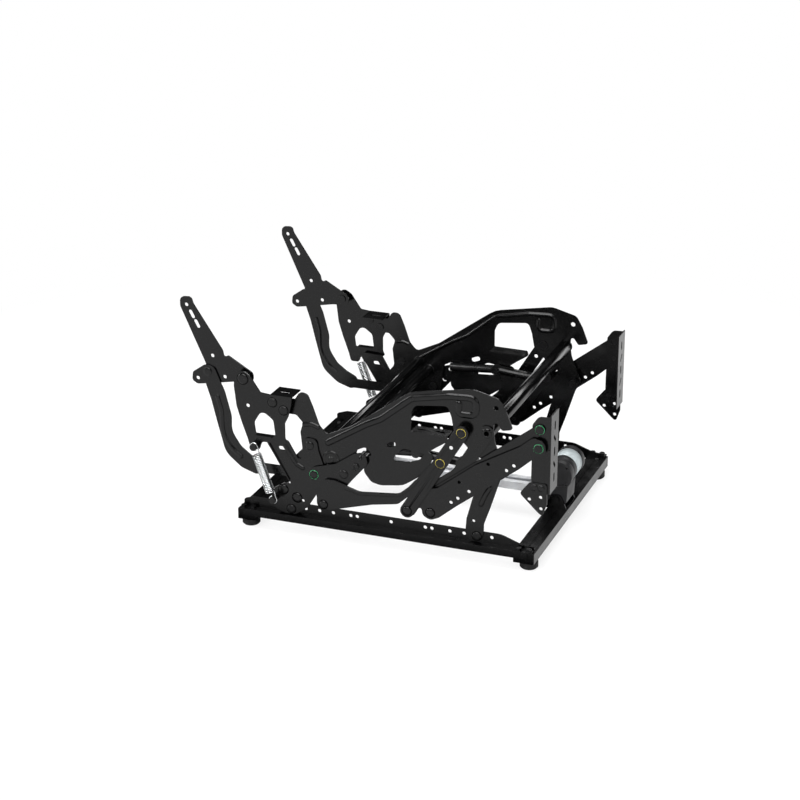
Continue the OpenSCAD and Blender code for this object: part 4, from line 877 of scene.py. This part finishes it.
class RECLINER_OT_actuator_trim(bpy.types.Operator):
    """Sleeve of the motor, screws of the gearbox and thread of the lead screw"""

    bl_idname = "recliner.actuator_trim"
    bl_label = "Actuator trim"

    def execute(self, context):
        trim = context.scene.recliner_trim
        low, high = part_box("drive_motor")
        middle = (low + high) / 2
        radius = (high.x - low.x) / 2
        box_low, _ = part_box("gearbox")
        self.sleeve("motor_band", "black_plastic", middle, radius + 0.0003, low.y + 0.0015, low.y + 0.026)
        self.sleeve("motor_sleeve", "sleeve", middle, radius + 0.0005, low.y + 0.0255, high.y - 0.0055)
        tree = bpy.data.node_groups["Round Buttons"]
        reach = radius - 0.001
        points = []
        for k in range(4):
            a = math.radians(45 + 90 * k)
            points.append((middle.x + reach * math.cos(a), box_low.y, middle.z + reach * math.sin(a)))
        repeat_on("gearbox_screws", points, tree, {
            "Radius": 0.0028, "Crown": 0.0014, "Material": material("black_rivet")}, "base")
        self.thread(trim)
        return {"FINISHED"}

    def sleeve(self, name, key, middle, radius, y0, y1):
        count = 64
        verts = []
        inner, edge = radius - 0.0006, 0.0003
        for y, r in ((y0, inner), (y0 + edge, radius), (y1 - edge, radius), (y1, inner)):
            for i in range(count):
                a = math.tau * i / count
                verts.append((middle.x + r * math.cos(a), y, middle.z + r * math.sin(a)))
        faces = []
        for j in range(3):
            for i in range(count):
                p, q = j * count + i, j * count + (i + 1) % count
                faces.append((p, p + count, q + count, q))
        obj = mesh_object(name, verts, (), faces)
        obj.data.materials.append(material(key))
        for polygon in obj.data.polygons:
            polygon.use_smooth = True
        finish_piece(obj, "base")

    def thread(self, trim):
        low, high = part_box("lead_screw")
        middle = (low + high) / 2
        radius = (high.z - low.z) / 2
        bare, steps = 0.01, 14
        turns = int((high.x - low.x - 2 * bare) / trim.thread_pitch)
        verts = []
        for i in range(turns * steps):
            a = math.tau * i / steps
            verts.append((low.x + bare + trim.thread_pitch * i / steps, middle.y + radius * math.cos(a),
                          middle.z + radius * math.sin(a)))
        obj = mesh_object("lead_screw_thread", verts, [(i, i + 1) for i in range(len(verts) - 1)])
        bake_tree(obj, bpy.data.node_groups["Wound Wire"], {
            "Wire Radius": 0.0003, "Sides": 4, "Material": material("screw_steel")})
        finish_piece(obj, "base")


class RECLINER_OT_plate_fittings(bpy.types.Operator):
    """Hex nuts on the cranks and the pressed bosses on the seat plates"""

    bl_idname = "recliner.plate_fittings"
    bl_label = "Plate fittings"

    def execute(self, context):
        crank = pivot("crank_turn")
        for name, step, layer, count, profile, body, slot in (
                ("crank_nuts", CRANK_NUT, 2, 6, NUT_PROFILE, "crank", "black_rivet"),
                ("plate_bosses", PLATE_BOSS, 0, 48, BOSS_PROFILE, "seat", "black_steel")):
            x, z = stepped(crank, step)
            places = [(x, sign * (LAYER[layer] + SHEET), z, sign) for _, sign in SIDES]
            self.discs(name, places, count, profile, body, slot)
        return {"FINISHED"}

    def discs(self, name, places, count, profile, body, slot):
        verts, faces = [], []
        for x, y, z, sign in places:
            first = len(verts)
            for radius, height in profile:
                for i in range(count):
                    a = math.tau * i / count
                    verts.append((x + radius * math.cos(a), y + sign * height, z + radius * math.sin(a)))
            rows = len(profile)
            rings = []
            for j in range(rows - 1):
                for i in range(count):
                    p, q = first + j * count + i, first + j * count + (i + 1) % count
                    rings.append((p, p + count, q + count, q))
            rings.append(tuple(first + (rows - 1) * count + i for i in range(count)))
            rings.append(tuple(first + i for i in reversed(range(count))))
            faces += [f if sign > 0 else tuple(reversed(f)) for f in rings]
        obj = mesh_object(name, verts, (), faces)
        obj.data.materials.append(material(slot))
        finish_piece(obj, body)


class RECLINER_OT_stage(bpy.types.Operator):
    """Floor, lamps, sky and camera"""

    bl_idname = "recliner.stage"
    bl_label = "Stage"

    def execute(self, context):
        stage = context.scene.recliner_stage
        scene = context.scene
        scene.view_settings.view_transform = "Standard"
        self.floor(stage)
        self.sky(scene)
        self.lamps()
        self.camera(scene, stage)
        return {"FINISHED"}

    def floor(self, stage):
        """Pale floor that keeps the shadow, with its own brightness for the camera and for gloss."""
        size = 9.0
        corners = [(-size, -size, 0), (size, -size, 0), (size, size, 0), (-size, size, 0)]
        floor = mesh_object("floor", corners, (), [(0, 1, 2, 3)])
        material, tree, shader, place = start_material("pale_floor")
        set_inputs(shader, Base_Color=(*stage.floor_colour, 1), Roughness=0.8, Specular_IOR_Level=0.1)
        glow = set_inputs(tree.nodes.new("ShaderNodeEmission"), Color=(1, 1, 1, 1))
        mirrored = tree.nodes.new("ShaderNodeEmission")
        path = tree.nodes.new("ShaderNodeLightPath")
        first = tree.nodes.new("ShaderNodeMixShader")
        second = tree.nodes.new("ShaderNodeMixShader")
        share, gleam = self.floor_share(tree, place, path), self.floor_gleam(tree, place)
        connect(tree, [
            (share, 0, first, "Fac"),
            (shader, "BSDF", first, 1),
            (glow, "Emission", first, 2),
            (gleam, 0, mirrored, "Strength"),
            (path, "Is Glossy Ray", second, "Fac"),
            (first, "Shader", second, 1),
            (mirrored, "Emission", second, 2),
            (second, "Shader", tree.nodes["Material Output"], "Surface")])
        floor.data.materials.append(material)

    def floor_share(self, tree, place, path):
        """Share of plain white that the camera sees, all of it away from the object."""
        away = tree.nodes.new("ShaderNodeVectorMath")
        away.operation = "LENGTH"
        clear = range_node(tree, 0.8, 1.6, 0.80, 1.0)
        share = math_node(tree, "MULTIPLY")
        connect(tree, [
            (place, "Object", away, 0),
            (away, "Value", clear, "Value"),
            (path, "Is Camera Ray", share, 0),
            (clear, "Result", share, 1)])
        return share

    def floor_gleam(self, tree, place):
        """Brightness that the gloss mirrors: dark under the frame, pale round it."""
        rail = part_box("front_cross_rail")[1].x
        axes = tree.nodes.new("ShaderNodeSeparateXYZ")
        near = range_node(tree, -0.44, -0.31, 0.98, 0.006)
        behind = range_node(tree, 0.55, 0.95, 0.0, 0.30)
        ahead = range_node(tree, rail, rail + 0.012, 0.0, 0.95)
        along = math_node(tree, "ABSOLUTE")
        brighter = math_node(tree, "MAXIMUM")
        gleam = math_node(tree, "ADD")
        connect(tree, [
            (place, "Object", axes, "Vector"),
            (axes, "Y", near, "Value"),
            (axes, "Y", behind, "Value"),
            (axes, "X", along, 0),
            (along, 0, ahead, "Value"),
            (near, "Result", brighter, 0),
            (ahead, "Result", brighter, 1),
            (brighter, 0, gleam, 0),
            (behind, "Result", gleam, 1)])
        return gleam

    def sky(self, scene):
        world = bpy.data.worlds.new("studio")
        scene.world = world
        world.use_nodes = True
        tree = world.node_tree
        back = set_inputs(tree.nodes["Background"], Color=(1, 1, 1, 1))
        path = tree.nodes.new("ShaderNodeLightPath")
        place = tree.nodes.new("ShaderNodeTexCoord")
        axes = tree.nodes.new("ShaderNodeSeparateXYZ")
        height = range_node(tree, 0.0, 0.13, 0.42, 0.02)
        mirror, white = set_inputs(mix_node(tree), A=0.5), set_inputs(mix_node(tree), B=1.0)
        either = math_node(tree, "MAXIMUM")
        connect(tree, [
            (place, "Generated", axes, "Vector"),
            (axes, "Z", height, "Value"),
            (path, "Is Glossy Ray", either, 0),
            (path, "Is Transmission Ray", either, 1),
            (either, 0, mirror, "Factor"),
            (height, "Result", mirror, "B"),
            (path, "Is Camera Ray", white, "Factor"),
            (mirror, "Result", white, "A"),
            (white, "Result", back, "Strength")])

    def lamps(self):
        target = Vector((0, 0, 0.2))
        for name, place, size, power in (
                ("overhead_box", (-0.1, -0.6, 3.0), (2.4, 1.6), 90.0),
                ("side_strip", (-2.6, -1.0, 1.6), (0.3, 1.8), 45.0),
                ("front_box", (-0.4, -3.2, 2.7), (2.6, 2.6), 125.0),
                ("front_fill", (2.6, -1.9, 1.5), (1.2, 1.2), 14.0),
                ("rear_strip", (0.2, 2.8, 2.2), (2.4, 0.3), 16.0)):
            lamp = bpy.data.lights.new(name, "AREA")
            lamp.shape = "RECTANGLE"
            lamp.size, lamp.size_y = size
            lamp.energy = power
            obj = bpy.data.objects.new(name, lamp)
            aim = (target - Vector(place)).to_track_quat("-Z", "Y").to_matrix().to_4x4()
            obj.matrix_world = Matrix.Translation(place) @ aim
            bpy.context.scene.collection.objects.link(obj)

    def camera(self, scene, stage):
        a, e = stage.azimuth, stage.elevation
        right = Vector((math.cos(a), math.sin(a), 0))
        back = Vector((math.sin(a) * math.cos(e), -math.cos(a) * math.cos(e), math.sin(e)))
        up = back.cross(right)
        shift = node_middle("feet").x
        place = back * stage.distance + right * VIEW_RIGHT + up * VIEW_UP + Vector((shift, 0, 0))
        lens = bpy.data.cameras.new("photo_camera")
        lens.lens = stage.lens
        lens.sensor_width = 36.0
        lens.sensor_fit = "HORIZONTAL"
        lens.clip_end = 60.0
        obj = bpy.data.objects.new("photo_camera", lens)
        turned = Matrix((right, up, back)).transposed().to_4x4()
        obj.matrix_world = Matrix.Translation(place) @ turned
        scene.collection.objects.link(obj)
        scene.camera = obj


class RECLINER_PT_panel(bpy.types.Panel):
    """Settings and steps of the recliner mechanism"""

    bl_idname = "RECLINER_PT_panel"
    bl_label = "Recliner Mechanism"
    bl_space_type = "VIEW_3D"
    bl_region_type = "UI"
    bl_category = "Recliner"

    def draw(self, context):
        for group in ("recliner_finish", "recliner_spring", "recliner_trim", "recliner_stage"):
            settings = getattr(context.scene, group)
            column = self.layout.column()
            for key in settings.__annotations__:
                column.prop(settings, key)
        for step in STEPS:
            self.layout.operator(step.bl_idname)


SETTINGS = {
    "recliner_finish": RECLINER_FinishSettings,
    "recliner_spring": RECLINER_SpringSettings,
    "recliner_trim": RECLINER_TrimSettings,
    "recliner_stage": RECLINER_StageSettings,
}
STEPS = (
    RECLINER_OT_finishes,
    RECLINER_OT_springs,
    RECLINER_OT_washers,
    RECLINER_OT_pressed_beads,
    RECLINER_OT_welds,
    RECLINER_OT_actuator_trim,
    RECLINER_OT_plate_fittings,
    RECLINER_OT_stage,
)


def register():
    for cls in (*SETTINGS.values(), *STEPS, RECLINER_PT_panel):
        bpy.utils.register_class(cls)
    for name, cls in SETTINGS.items():
        setattr(bpy.types.Scene, name, bpy.props.PointerProperty(type=cls))


def unregister():
    for name in SETTINGS:
        delattr(bpy.types.Scene, name)
    for cls in (RECLINER_PT_panel, *reversed(STEPS), *SETTINGS.values()):
        bpy.utils.unregister_class(cls)


def main():
    register()
    bpy.ops.recliner.finishes()
    bpy.ops.recliner.springs()
    bpy.ops.recliner.washers()
    bpy.ops.recliner.pressed_beads()
    bpy.ops.recliner.welds()
    bpy.ops.recliner.actuator_trim()
    bpy.ops.recliner.plate_fittings()
    bpy.ops.recliner.stage()


if __name__ == "__main__":
    main()
